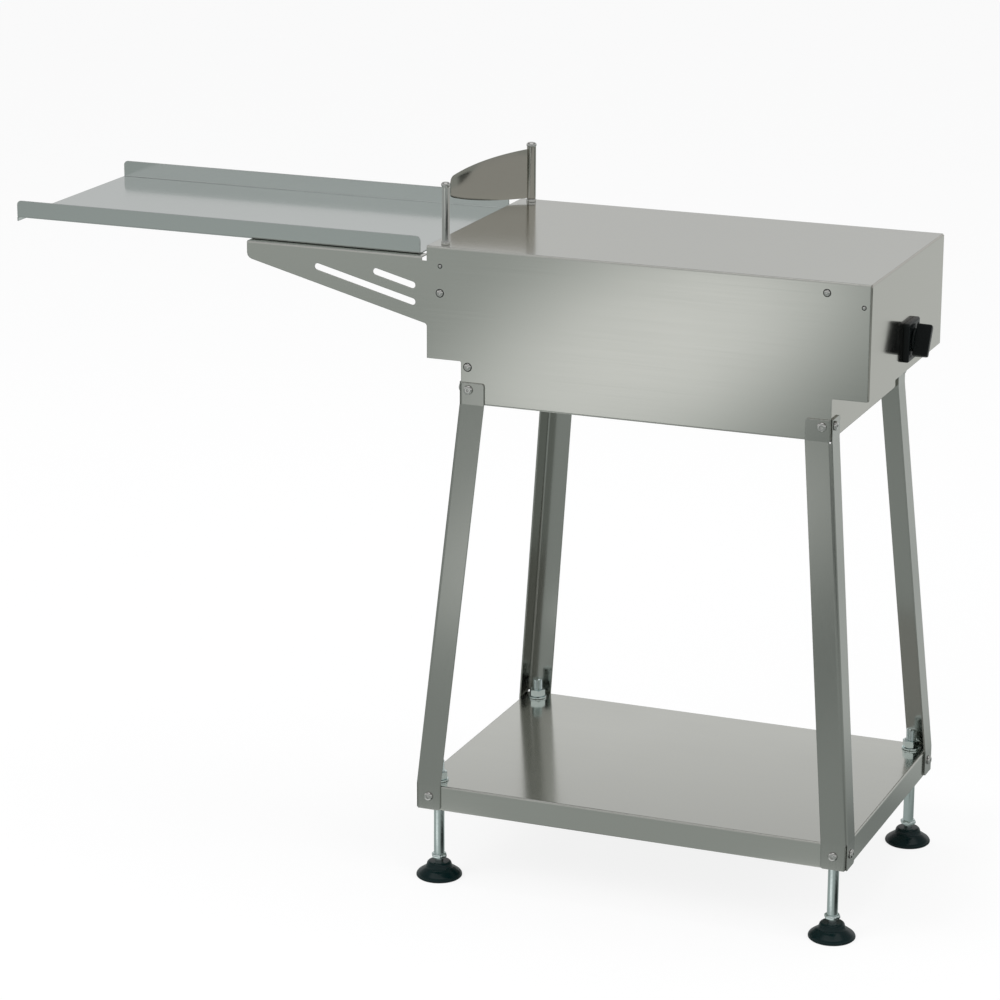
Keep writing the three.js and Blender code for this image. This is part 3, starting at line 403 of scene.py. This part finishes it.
def post(node, radius):
    """A turned post: its shank, the shoulder on the table top, and the head with its crown."""
    low, high = corners_of(node)
    x, y = middle_of(node).xy
    head = (high.x - low.x) / 2
    shoulder_low, shoulder_high = TABLE_TOP + SHOULDER_LOW, TABLE_TOP + SHOULDER_HIGH
    head_low = high.z - HEAD_HEIGHT
    profile = softened([
        (radius - 1, low.z), (radius, low.z + 1), (radius, shoulder_low), (head, shoulder_low, 0.3),
        (head, shoulder_high, 0.6), (radius + 0.8, shoulder_high + 0.8, 0.3),
        (radius, TABLE_TOP + SHOULDER_END, 0.3), (radius, head_low, 0.3), (head - 0.5, head_low + 1, 0.3),
        (head, head_low + 2, 0.5), (head, high.z - CROWN_HEIGHT, 1.4), (head - CROWN_INSET, high.z, 1.6),
        (CAP, high.z),
    ])
    piece(f"{node}_turned", [skin(circles(profile), standing(x, y))], "polished", "frame", (node,))


def quadratic(values, share):
    """A Bezier curve through the first and last value, drawn towards the middle one."""
    first, middle, last = values
    return (1 - share) ** 2 * first + 2 * share * (1 - share) * middle + share ** 2 * last


def wing_edges(reach):
    """The heights of the wing's lower and upper edge at that distance from its post."""
    beyond = max(0.0, reach - (WING_CHORD - WING_TIP)) / WING_TIP
    corner = 1 - math.sqrt(max(0.0, 1 - min(1.0, beyond) ** 2))
    low = quadratic(WING_LOWER, reach / WING_CHORD) + WING_TIP_RISE * corner
    high = quadratic(WING_UPPER, reach / WING_CHORD) - WING_TIP * corner
    return low, high


def wing_sides(x, y):
    """A grid of points for each side of the rolled sheet, one after the other."""
    along = polar(1.0, WING_ANGLE)
    across = Vector((along.y, -along.x, 0.0))
    radius = (WING_CHORD ** 2 / 4 + WING_BULGE ** 2) / (2 * WING_BULGE)
    pin = Vector((x, y, 0.0))
    middle = pin + along * WING_CHORD / 2 + across * (WING_BULGE - radius)
    half = math.asin(WING_CHORD / 2 / radius)
    towards = math.atan2(across.y, across.x)
    points = []
    for side in (-1.0, 1.0):
        for column in range(WING_COLUMNS + 1):
            share = math.sin(column / WING_COLUMNS * math.pi / 2) ** WING_CROWDING
            spoke = polar(1.0, towards - half + 2 * half * share)
            low, high = wing_edges((middle + spoke * radius - pin).dot(along))
            for row in range(WING_ROWS + 1):
                height = low + (high - low) * row / WING_ROWS
                rounding = WING_ROUNDING if row in (0, WING_ROWS) else 0.0
                point = middle + spoke * (radius + side * (WING_HALF_THICKNESS - rounding))
                points.append(Vector((point.x, point.y, TABLE_TOP + height)))
    return points


def plate_faces(columns, rows):
    """The faces of a closed plate whose two sides are grids of points, one after the other."""
    stride = rows + 1
    back = (columns + 1) * stride
    faces = []
    for column in range(columns):
        for row in range(rows):
            here = column * stride + row
            above, beyond, beside = here + 1, here + stride + 1, here + stride
            faces.append((here, above, beyond, beside))
            faces.append((back + beside, back + beyond, back + above, back + here))
        low, high = column * stride, column * stride + rows
        faces.append((low, low + stride, back + low + stride, back + low))
        faces.append((high + stride, high, back + high, back + high + stride))
    for row in range(rows):
        last = columns * stride + row
        faces.append((row + 1, row, back + row, back + row + 1))
        faces.append((last, last + 1, back + last + 1, back + last))
    return faces


def wing_barrel(x, y):
    """The barrel along the wing's edge, round the back post."""
    low, high = TABLE_TOP + BARREL_LOW, TABLE_TOP + BARREL_HIGH
    bore = BACK_POST_RADIUS + BARREL_GAP
    outside = bore + BARREL_WALL
    edge = BARREL_EDGE
    profile = [
        (bore, low + edge), (bore + edge, low), (outside - edge, low), (outside, low + edge),
        (outside, high - edge), (outside - edge, high), (bore + edge, high), (bore, high - edge),
        (bore, low + edge),
    ]
    return tube(circles(profile), standing(x, y))


def wing():
    """The rolled guide: an arc in plan that tapers to its tip, on a barrel round its post."""
    x, y = middle_of("back_upright").xy
    sheet = (wing_sides(x, y), plate_faces(WING_COLUMNS, WING_ROWS))
    piece("guide_wing_rolled", [sheet, wing_barrel(x, y)], "wing", "wing", ("guide_wing",), smooth=40.0)


post("front_upright", FRONT_POST_RADIUS)
post("back_upright", BACK_POST_RADIUS)
wing()


# Levelling feet and their nuts

SOCKET_RADIUS, NECK_RADIUS, ROD_RADIUS = 6.8, 6.5, 8.45
# Heights above the floor
BELL_TOP, SOCKET_FLOOR = 25.5, 12.0
NECK_LOW, COLLAR_LOW, COLLAR_HIGH = 12.3, 31.5, 38.5
# The hexagon on the rod: across its flats, the radius of its round faces, the slope of its chamfer
COLLAR_FLATS, COLLAR_FACE, COLLAR_SLOPE = 22.0, 10.7, 0.6
# The rod shows only a trace of its thread below the nuts
TRACE_DEPTH = 0.08
# The moulded bell from its sole up and into its socket: radius, height and fillet
BELL = (
    (WIDE_CAP, 0.0), (34.4, 0.0), (36.4, 1.8, 0.8), (36.4, 4.6, 1.5), (34.2, 7.6, 1.5), (29.6, 10.8, 1.5),
    (25.9, 13.4, 1.5), (22.0, 15.4, 1.2), (20.4, 18.7, 1.4), (19.2, 23.2, 1.0), (16.8, BELL_TOP, 1.2),
    (SOCKET_RADIUS, BELL_TOP), (SOCKET_RADIUS, SOCKET_FLOOR), (WIDE_CAP, SOCKET_FLOOR),
)
NUT_FLATS, NUT_HEIGHT, NUT_SLOPE = 24.0, 11.9, 0.55
# The radius of a nut's round face as a share of half its flats, and the chamfer of its bore
NUT_FACE_SHARE, NUT_LEAD = 0.95, 1.0
SHELF_NUT_BORE = 8.65
WASHER_RADIUS, WASHER_THICKNESS = 15.0, 2.9
# Between a nut and its washer
STACK_GAP = 0.15


def foot(corner, place):
    """A moulded bell, and the rod in it with its neck, hexagon and thread."""
    body = f"foot_{corner}"
    rod_top = corners_of(f"foot_rod_{corner}")[1].z
    nut_low = corners_of(f"lower_nut_{corner}")[0].z
    bell = circles(softened(BELL), FINE)
    piece(f"{body}_bell", [skin(bell, place)], "foot", body, (f"foot_pad_{corner}",))
    neck = circles([
        (WIDE_CAP, NECK_LOW), (NECK_RADIUS, NECK_LOW), (NECK_RADIUS, COLLAR_LOW), (9.2, COLLAR_LOW),
    ])
    collar = [
        hexed(COLLAR_FLATS, COLLAR_FACE, COLLAR_LOW + 0.7, -COLLAR_SLOPE),
        hexed(COLLAR_FLATS, COLLAR_FACE, COLLAR_HIGH - 0.5, COLLAR_SLOPE),
    ]
    upper = circles([(10.6, COLLAR_HIGH - 0.1), (8.4, COLLAR_HIGH)])
    shank = thread(ROD_RADIUS, COLLAR_HIGH + 0.4, nut_low, TRACE_DEPTH)
    shank += thread(ROD_RADIUS, nut_low + 0.1, rod_top - 1.8)
    end = circles([(8.1, rod_top - 1.6), (6.9, rod_top - 0.2), (6.1, rod_top), (CAP, rod_top)])
    rings = neck + collar + upper + shank + end
    piece(f"{body}_rod", [skin(rings, place)], "zinc", body, (f"foot_rod_{corner}",), smooth=50.0)


def hex_nut(flats, low, high, bore):
    """The rings of a chamfered hexagon nut, from its lower face round to its bore."""
    face = flats / 2 * NUT_FACE_SHARE
    return [
        circle(bore, low), circle(face, low), hexed(flats, face, low, -NUT_SLOPE),
        hexed(flats, face, high, NUT_SLOPE), circle(face, high), circle(bore + NUT_LEAD, high),
        circle(bore, high - NUT_LEAD), circle(bore, low),
    ]


def shelf_nut(node, place, low, washer_low):
    """A nut on the rod and the washer between it and the shelf."""
    washer_high = washer_low + WASHER_THICKNESS
    washer = circles([
        (SHELF_NUT_BORE, washer_low), (WASHER_RADIUS - 0.4, washer_low), (WASHER_RADIUS, washer_low + 0.5),
        (WASHER_RADIUS, washer_high - 0.4), (WASHER_RADIUS - 0.5, washer_high),
        (SHELF_NUT_BORE, washer_high), (SHELF_NUT_BORE, washer_low),
    ])
    nut = hex_nut(NUT_FLATS, low, low + NUT_HEIGHT, SHELF_NUT_BORE)
    piece(f"{node}_turned", [tube(nut, place), tube(washer, place)], "zinc", "frame", (node,))


for corner in CORNERS:
    foot_place = standing(*middle_of(f"foot_pad_{corner}").xy)
    foot(corner, foot_place)
    upper_low = corners_of(f"upper_nut_{corner}")[0].z
    lower_low = corners_of(f"lower_nut_{corner}")[0].z
    shelf_nut(f"upper_nut_{corner}", foot_place, upper_low + WASHER_THICKNESS + STACK_GAP, upper_low)
    shelf_nut(f"lower_nut_{corner}", foot_place, lower_low, lower_low + NUT_HEIGHT + STACK_GAP)


# Leg screws and panel rivets

SCREW_RADIUS, SCREW_HEIGHT, SCREW_SOCKET = 7.4, 4.0, 4.2
SHANK_RADIUS, SHANK_LENGTH = 3.0, 12.0
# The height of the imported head, which stands on the same seat
PACKED_HEAD = 3.2
# The dome of a screw's head, in shares of its radius and height
SCREW_DOME = ((1.0, 0.32), (0.93, 0.6), (0.8, 0.84), (0.64, 0.97), (0.52, 1.0))
# Name, distance from the middle of the housing, depth below the top, head radius
PANEL_RIVETS = (
    ("end_upper", -328.1, 30.1, 2.6), ("end_middle", -328.4, 72.0, 5.6), ("ledge", -282.8, 183.3, 6.0),
    ("right_upper", 281.9, 17.0, 5.0), ("right_edge", 338.3, 34.5, 2.6),
)
WALL_FRONT, WALL_BACK = (corner.y for corner in corners_of("housing_shell"))
# The middle of the housing, over the middle between its feet
HOUSING_X = (middle_of("foot_rod_front_left").x + middle_of("foot_rod_front_right").x) / 2
# A rivet's root in the wall, how much narrower it is than the head, the height of the head's rim, and
# how far the head rises as a share of its radius
RIVET_ROOT, RIVET_NECK, RIVET_RIM, RIVET_RISE = -1.0, 0.6, 0.1, 0.45
RIVET_STEPS = 9
RIVET_LIFT = 0.05
# A black ring round it, a hair proud of the wall: painted shadow round the head
SHADOW_RING_WIDTH, SHADOW_RING_HEIGHT = 1.1, 0.06


def button_head():
    """The rings of a button head with a hexagon socket, on its shank."""
    rings = circles([
        (CAP, -SHANK_LENGTH), (SHANK_RADIUS - 0.5, -SHANK_LENGTH), (SHANK_RADIUS, -SHANK_LENGTH + 0.6),
        (SHANK_RADIUS, 0.0), (SCREW_RADIUS - 0.2, 0.0), (SCREW_RADIUS, 0.25),
    ])
    rings += circles([(SCREW_RADIUS * reach, SCREW_HEIGHT * rise) for reach, rise in SCREW_DOME])
    return rings + [
        hexed(SCREW_SOCKET, SCREW_SOCKET / 2, SCREW_HEIGHT - 0.1),
        hexed(SCREW_SOCKET, SCREW_SOCKET / 2, SCREW_HEIGHT * 0.35),
        circle(0.5, SCREW_HEIGHT * 0.25),
    ]


def leg_screw(node, along):
    """Puts a button-head screw where the node is; along is its axis, pointing outwards."""
    low, high = corners_of(node)
    centre = (low + high) / 2
    outward = Vector(along)
    tip = max(low.dot(outward), high.dot(outward))
    seat = centre + outward * (tip - PACKED_HEAD - centre.dot(outward))
    piece(f"{node}_head", [skin(button_head(), facing(outward, *seat))], "polished", "frame", (node,))


def panel_rivet(label, distance, drop, head, end, wall):
    """A domed rivet head in a black ring of painted shadow, on the front or the back of the housing."""
    side = -1.0 if end == "front" else 1.0
    place = facing((0.0, side, 0.0), HOUSING_X + distance, wall + side * RIVET_LIFT, TABLE_TOP - drop)
    turns = [math.pi / 2 * step / RIVET_STEPS for step in range(RIVET_STEPS)]
    dome = [(CAP, RIVET_ROOT), (head - RIVET_NECK, RIVET_ROOT)]
    dome += [(head * math.cos(turn), RIVET_RIM + head * RIVET_RISE * math.sin(turn)) for turn in turns]
    outer = head + SHADOW_RING_WIDTH
    ring = [(CAP, RIVET_ROOT), (outer, RIVET_ROOT), (outer, SHADOW_RING_HEIGHT), (CAP, SHADOW_RING_HEIGHT)]
    piece(f"panel_rivet_{end}_{label}", [skin(circles(dome), place)], "polished", "frame")
    # The black ring is painted shadow round the head
    piece(f"panel_rivet_gap_{end}_{label}", [skin(circles(ring), place)], "black", "frame")


for corner in CORNERS:
    side_x = 1.0 if "right" in corner else -1.0
    side_y = 1.0 if "back" in corner else -1.0
    for end in ("upper", "lower"):
        leg_screw(f"screw_{corner}_{end}_outer", (0.0, side_y, 0.0))
        leg_screw(f"screw_{corner}_{end}_end", (side_x, 0.0, 0.0))

for rivet in PANEL_RIVETS:
    panel_rivet(*rivet, "front", WALL_FRONT)
    panel_rivet(*rivet, "back", WALL_BACK)


# Rotary switch and cable gland

CORNER_STEPS = 6
BEZEL_CORNER = 4.0
# Of the switch plate's rim and face: inset from its edge, and depth below its face
BEZEL_RIM = ((0.0, 2.5), (0.4, 1.2), (1.4, 0.3), (3.0, 0.0), (7.0, 0.0), (7.6, 0.6))
KNOB_LEAN = math.radians(30.0)
KNOB_LENGTH, KNOB_CORNER, KNOB_ROOT, KNOB_ROOT_WIDTH = 50.0, 2.4, 1.8, 14.0
# The disc under the bar: radius, height and fillet
KNOB_DISC = ((WIDE_CAP, 0.0), (18.0, 0.0, 0.4), (18.0, 3.1, 0.9), (15.0, 3.5, 0.4), (WIDE_CAP, 3.5))
# Of the bar: depth below its tip, width, and inset of its two ends
KNOB_RIM = ((3.0, 10.6, 0.0), (1.2, 10.0, 0.35), (0.3, 9.4, 1.0), (0.0, 8.0, 2.0))
# Of the gland: its bore, how far it reaches into the wall, and across the flats of body and cap
GLAND_BORE, GLAND_ROOT, GLAND_FLATS, GLAND_CAP_FLATS = 4.2, -8.0, 19.0, 17.6


def rounded_square(width, height, corner, depth):
    """A ring in Y and Z with rounded corners, at a depth along X."""
    points = []
    for quarter, (side_y, side_z) in enumerate(((1, 1), (-1, 1), (-1, -1), (1, -1))):
        for step in range(CORNER_STEPS + 1):
            angle = (quarter + step / CORNER_STEPS) * math.pi / 2
            points.append(Vector((
                depth,
                side_y * (width / 2 - corner) + corner * math.cos(angle),
                side_z * (height / 2 - corner) + corner * math.sin(angle),
            )))
    return points


def switch_plate():
    low, high = corners_of("switch_bezel")
    middle = middle_of("switch_bezel")
    size, depth = high.y - low.y, high.x - low.x
    rings = [rounded_square(size, size, BEZEL_CORNER, 0.0)]
    for inset, below in BEZEL_RIM:
        width = size - 2 * inset
        rings.append(rounded_square(width, width, max(1.0, BEZEL_CORNER - inset / 2), depth - below))
    place = standing(low.x, middle.y, middle.z)
    piece("switch_bezel_moulded", [skin(rings, place)], "black", "frame", ("switch_bezel",))


def switch_knob():
    """A disc with a bar that leans as it does when the switch is off, both round the plate's middle."""
    low, high = corners_of("switch_knob")
    middle = middle_of("switch_bezel")
    deep = high.x - low.x
    bar = [rounded_square(KNOB_ROOT_WIDTH, KNOB_LENGTH, KNOB_CORNER, KNOB_ROOT)]
    for below, width, inset in KNOB_RIM:
        bar.append(rounded_square(width, KNOB_LENGTH - 2 * inset, KNOB_CORNER, deep - below))
    outwards = facing((1, 0, 0), low.x, middle.y, middle.z)
    leaning = standing(low.x, middle.y, middle.z) @ Matrix.Rotation(-KNOB_LEAN, 4, "X")
    parts = [skin(circles(softened(KNOB_DISC)), outwards), skin(bar, leaning)]
    piece("switch_knob_moulded", parts, "black", "switch", ("switch_knob",))


def cable_gland():
    """A gland through the back wall: thread, flange, hexagon body, hexagon cap and rounded mouth."""
    middle = middle_of("cable_gland")
    rings = circles([(GLAND_BORE, GLAND_ROOT), (8.0, GLAND_ROOT), (8.0, 0.2)]) + [
        circle(10.2, 0.3), hexed(GLAND_FLATS, 9.4, 0.3, -0.5), hexed(GLAND_FLATS, 9.4, 8.0, 0.5),
        circle(9.4, 8.0), circle(8.6, 8.6), circle(8.6, 9.6),
        hexed(GLAND_CAP_FLATS, 8.6, 10.0), hexed(GLAND_CAP_FLATS, 8.6, 14.0),
    ]
    rings += circles([
        (8.2, 17.0), (7.2, 19.0), (5.6, 20.0), (4.4, 19.6), (GLAND_BORE, 18.0), (GLAND_BORE, GLAND_ROOT),
    ])
    place = facing((0.0, 1.0, 0.0), middle.x, WALL_BACK, middle.z)
    piece("cable_gland_moulded", [tube(rings, place)], "black", "frame", ("cable_gland",))


switch_plate()
switch_knob()
cable_gland()


# Floor

FLOOR_REACH, FLOOR_SPECKLE = 30.0, 6.0
# Emission of the floor as steel mirrors it, where no patch lies
FLOOR_LEVEL = 0.39
# The colours of its darkest and of its brightest parts
FLOOR_DARK, FLOOR_LIGHT = (0.9, 1.0, 0.95), (1.0, 1.0, 1.0)
# How much of the floor's own light the camera sees. The rest is the shaded surface with its shadows
FLOOR_GLOW = 0.85
# The floor as the steel mirrors it, painted one ellipse over the other:
# x, y, direction of the long axis in degrees, half length, half width, core without a soft edge, level
FLOOR_PATCHES = (
    # right end panel, right sides of the legs, end of the shelf
    (1.9, 4.2, 68.0, 3.6, 1.3, 0.5, 0.63),
    (1.15, 1.3, 68.0, 0.9, 0.5, 0.4, 0.6),
    (0.8, 0.27, 68.0, 0.3, 0.2, 0.2, 0.25),
    # round and bent shapes: posts, wing, rods and the folds of the legs
    (3.0, -5.6, 0.0, 1.8, 1.8, 0.7, 0.03),
    (6.2, -1.8, 62.0, 3.8, 1.8, 0.7, 0.03),
    (5.2, 3.0, 0.0, 1.3, 1.3, 0.6, 0.04),
    (0.55, -5.7, 0.0, 0.9, 1.0, 0.5, 1.0),
    (1.7, -0.9, 60.0, 1.3, 0.7, 0.3, 0.24),
    (-2.6, 2.4, 0.0, 2.2, 2.2, 0.6, 0.12),
    (-0.6, 2.4, 0.0, 1.3, 1.6, 0.5, 0.08),
    # fronts of housing, tray and legs: the left end, the light band, the darker right
    (-2.4, -4.3, 0.0, 1.0, 0.9, 0.4, 0.47),
    (-0.87, -3.8, 83.3, 2.1, 0.6, 0.3, 1.0),
    (-0.02, -2.8, 83.3, 1.9, 0.36, 0.0, 0.24),
)
# Beside each foot, for its rod: offset from it, half length, half width, level
FOOT_PATCHES = ((0.2, 0.0, 0.18, 0.22, 0.03), (-0.1, -0.2, 0.16, 0.12, 1.0))
FOOT_CORE = 0.4
# The back right foot has none, as they would show in the end of the shelf
PATCHED_FEET = ("front_left", "front_right", "back_left")


def shown_share(graph):
    """1 for what the camera, a reflection or a view through glass sees, and 1 for a reflection alone.
    Both are 0 for the light that falls on things."""
    path = graph.add("ShaderNodeLightPath")
    total = path.outputs["Is Camera Ray"]
    for ray in ("Is Glossy Ray", "Is Transmission Ray"):
        total = graph.add("ShaderNodeMath", {0: total, 1: path.outputs[ray]}, operation="MAXIMUM").outputs[0]
    return total, path.outputs["Is Glossy Ray"]


def ellipse(graph, below, x, y, turn, half_length, half_width, core, level):
    """Paints one soft ellipse over the level below it."""
    place = graph.add("ShaderNodeMapping", {
        "Vector": graph.place, "Location": (x, y, 0.0), "Rotation": (0.0, 0.0, math.radians(turn)),
        "Scale": (half_length, half_width, 1.0),
    }, vector_type="TEXTURE").outputs["Vector"]
    reach = graph.add("ShaderNodeVectorMath", {0: place}, operation="LENGTH").outputs["Value"]
    share = graph.add("ShaderNodeMapRange", {
        "Value": reach, "From Min": core, "From Max": 1.0, "To Min": 1.0, "To Max": 0.0,
    }, interpolation_type="SMOOTHSTEP").outputs["Result"]
    return graph.mix(share, below, level)


def mirrored_floor(graph):
    """The floor's level as the steel mirrors it."""
    level = FLOOR_LEVEL
    for patch in FLOOR_PATCHES:
        level = ellipse(graph, level, *patch)
    for corner in PATCHED_FEET:
        x, y = middle_of(f"foot_rod_{corner}").xy * MM
        for off_x, off_y, *halves, patch in FOOT_PATCHES:
            level = ellipse(graph, level, x + off_x, y + off_y, 0.0, *halves, FOOT_CORE, patch)
    return level


def set_floor():
    """A white floor that is nearly as bright as the backdrop, so only soft shadows show on it."""
    sides = ((-1, -1), (1, -1), (1, 1), (-1, 1))
    mesh = bpy.data.meshes.new("floor")
    mesh.from_pydata([(x * FLOOR_REACH, y * FLOOR_REACH, 0) for x, y in sides], [], [(0, 1, 2, 3)])
    graph = material_graph("floor")
    shown, glossy = shown_share(graph)
    seen = graph.mix(glossy, 1.0, mirrored_floor(graph))
    light = graph.add("ShaderNodeEmission", {
        "Color": graph.tint(seen, FLOOR_DARK, FLOOR_LIGHT), "Strength": seen,
    })
    surface = graph.add("ShaderNodeBsdfDiffuse", {
        "Color": graph.tint(graph.noise(FLOOR_SPECKLE, 4.0), grey(0.9), grey(0.93)), "Roughness": 0.5,
    })
    most = graph.between(glossy, FLOOR_GLOW, 1.0, 0.0, 1.0)
    amount = graph.add("ShaderNodeMath", {0: shown, 1: most}, operation="MULTIPLY").outputs["Value"]
    mixed = graph.add("ShaderNodeMixShader", {"Fac": amount, 1: surface.outputs[0], 2: light.outputs[0]})
    graph.add("ShaderNodeOutputMaterial", {"Surface": mixed.outputs[0]})
    mesh.materials.append(graph.owner)
    floor = bpy.data.objects.new("floor", mesh)
    bpy.context.scene.collection.objects.link(floor)


# World, lamps and camera

WHITE = (1.0, 1.0, 1.0, 1.0)
WORLD_LIGHT = (0.72, 0.72, 0.73, 1.0)
# The room that the steel mirrors, from 0 at the horizon to 1 overhead, and its levels
ROOM_LEVELS = (
    (0.0, 0.45), (0.12, 0.55), (0.2, 0.62), (0.28, 0.7), (0.34, 0.9), (0.365, 0.52), (0.6, 0.3),
    (0.85, 0.28), (0.93, 1.0), (1.0, 1.0),
)
# The key lamp's place, target, and width and depth. The glint is the same lamp as the steel mirrors it
KEY = (-2.2, -3.0, 3.4), (0.0, 0.0, 0.8), (2.6, 2.0)
# Name, place, target, width and depth, watts, and whether the steel mirrors it
LAMPS = (
    ("key", *KEY, 40.0, False),
    ("glint", *KEY, 32.0, True),
    ("fill", (3.6, -1.6, 2.4), (0.2, 0.0, 0.8), (2.0, 2.0), 30.0, False),
    ("overhead", (0.0, 0.4, 3.8), (0.0, 0.0, 1.0), (3.0, 2.0), 40.0, False),
)
# The photograph's camera, solved from the straight edges of housing, tray and shelf
CAMERA_PLACE = (2.0655, -5.05783, 2.15689)
CAMERA_YAW, CAMERA_PITCH, CAMERA_ROLL = math.radians(21.894), math.radians(16.28), math.radians(0.2213)
# In millimetres
CAMERA_LENS, CAMERA_SENSOR = 128.244, 36.0


def set_world():
    """A white backdrop for the camera, a room in greys for the steel, and even light for the rest."""
    graph = Graph(bpy.data.worlds.new("studio"), "Generated")
    shown, glossy = shown_share(graph)
    height = graph.add("ShaderNodeSeparateXYZ", {0: graph.place}).outputs["Z"]
    ramp = graph.add("ShaderNodeValToRGB", {"Fac": height})
    stops = ramp.color_ramp.elements
    for index, (place, level) in enumerate(ROOM_LEVELS):
        stop = stops[0] if index == 0 else stops.new(place)
        stop.position = place
        stop.color = (*grey(level), 1.0)
    stops.remove(stops[-1])
    seen = graph.mix_colours(glossy, WHITE, ramp.outputs["Color"])
    colour = graph.mix_colours(shown, WORLD_LIGHT, seen)
    background = graph.add("ShaderNodeBackground", {"Color": colour})
    graph.add("ShaderNodeOutputWorld", {"Surface": background.outputs[0]})
    bpy.context.scene.world = graph.owner


def set_lamp(name, place, target, size, power, mirrored):
    lamp = bpy.data.lights.new(name, "AREA")
    lamp.shape = "RECTANGLE"
    lamp.size, lamp.size_y = size
    lamp.energy = power
    made = bpy.data.objects.new(name, lamp)
    made.location = place
    made.rotation_euler = (Vector(target) - Vector(place)).to_track_quat("-Z", "Y").to_euler()
    made.visible_glossy = mirrored
    bpy.context.scene.collection.objects.link(made)


def set_camera():
    ahead = polar(math.cos(CAMERA_PITCH), CAMERA_YAW + math.pi / 2, -math.sin(CAMERA_PITCH))
    level = polar(1.0, CAMERA_YAW)
    lift = level.cross(ahead)
    right = level * math.cos(CAMERA_ROLL) + lift * math.sin(CAMERA_ROLL)
    up = lift * math.cos(CAMERA_ROLL) - level * math.sin(CAMERA_ROLL)
    camera = bpy.data.cameras.new("camera")
    camera.sensor_width = CAMERA_SENSOR
    camera.lens = CAMERA_LENS
    made = bpy.data.objects.new("camera", camera)
    turn = Matrix((right, up, -ahead)).transposed().to_4x4()
    made.matrix_world = Matrix.Translation(CAMERA_PLACE) @ turn
    bpy.context.scene.collection.objects.link(made)
    bpy.context.scene.camera = made


set_floor()
set_world()
for lamp in LAMPS:
    set_lamp(*lamp)
set_camera()
bpy.context.scene.view_settings.view_transform = "Standard"
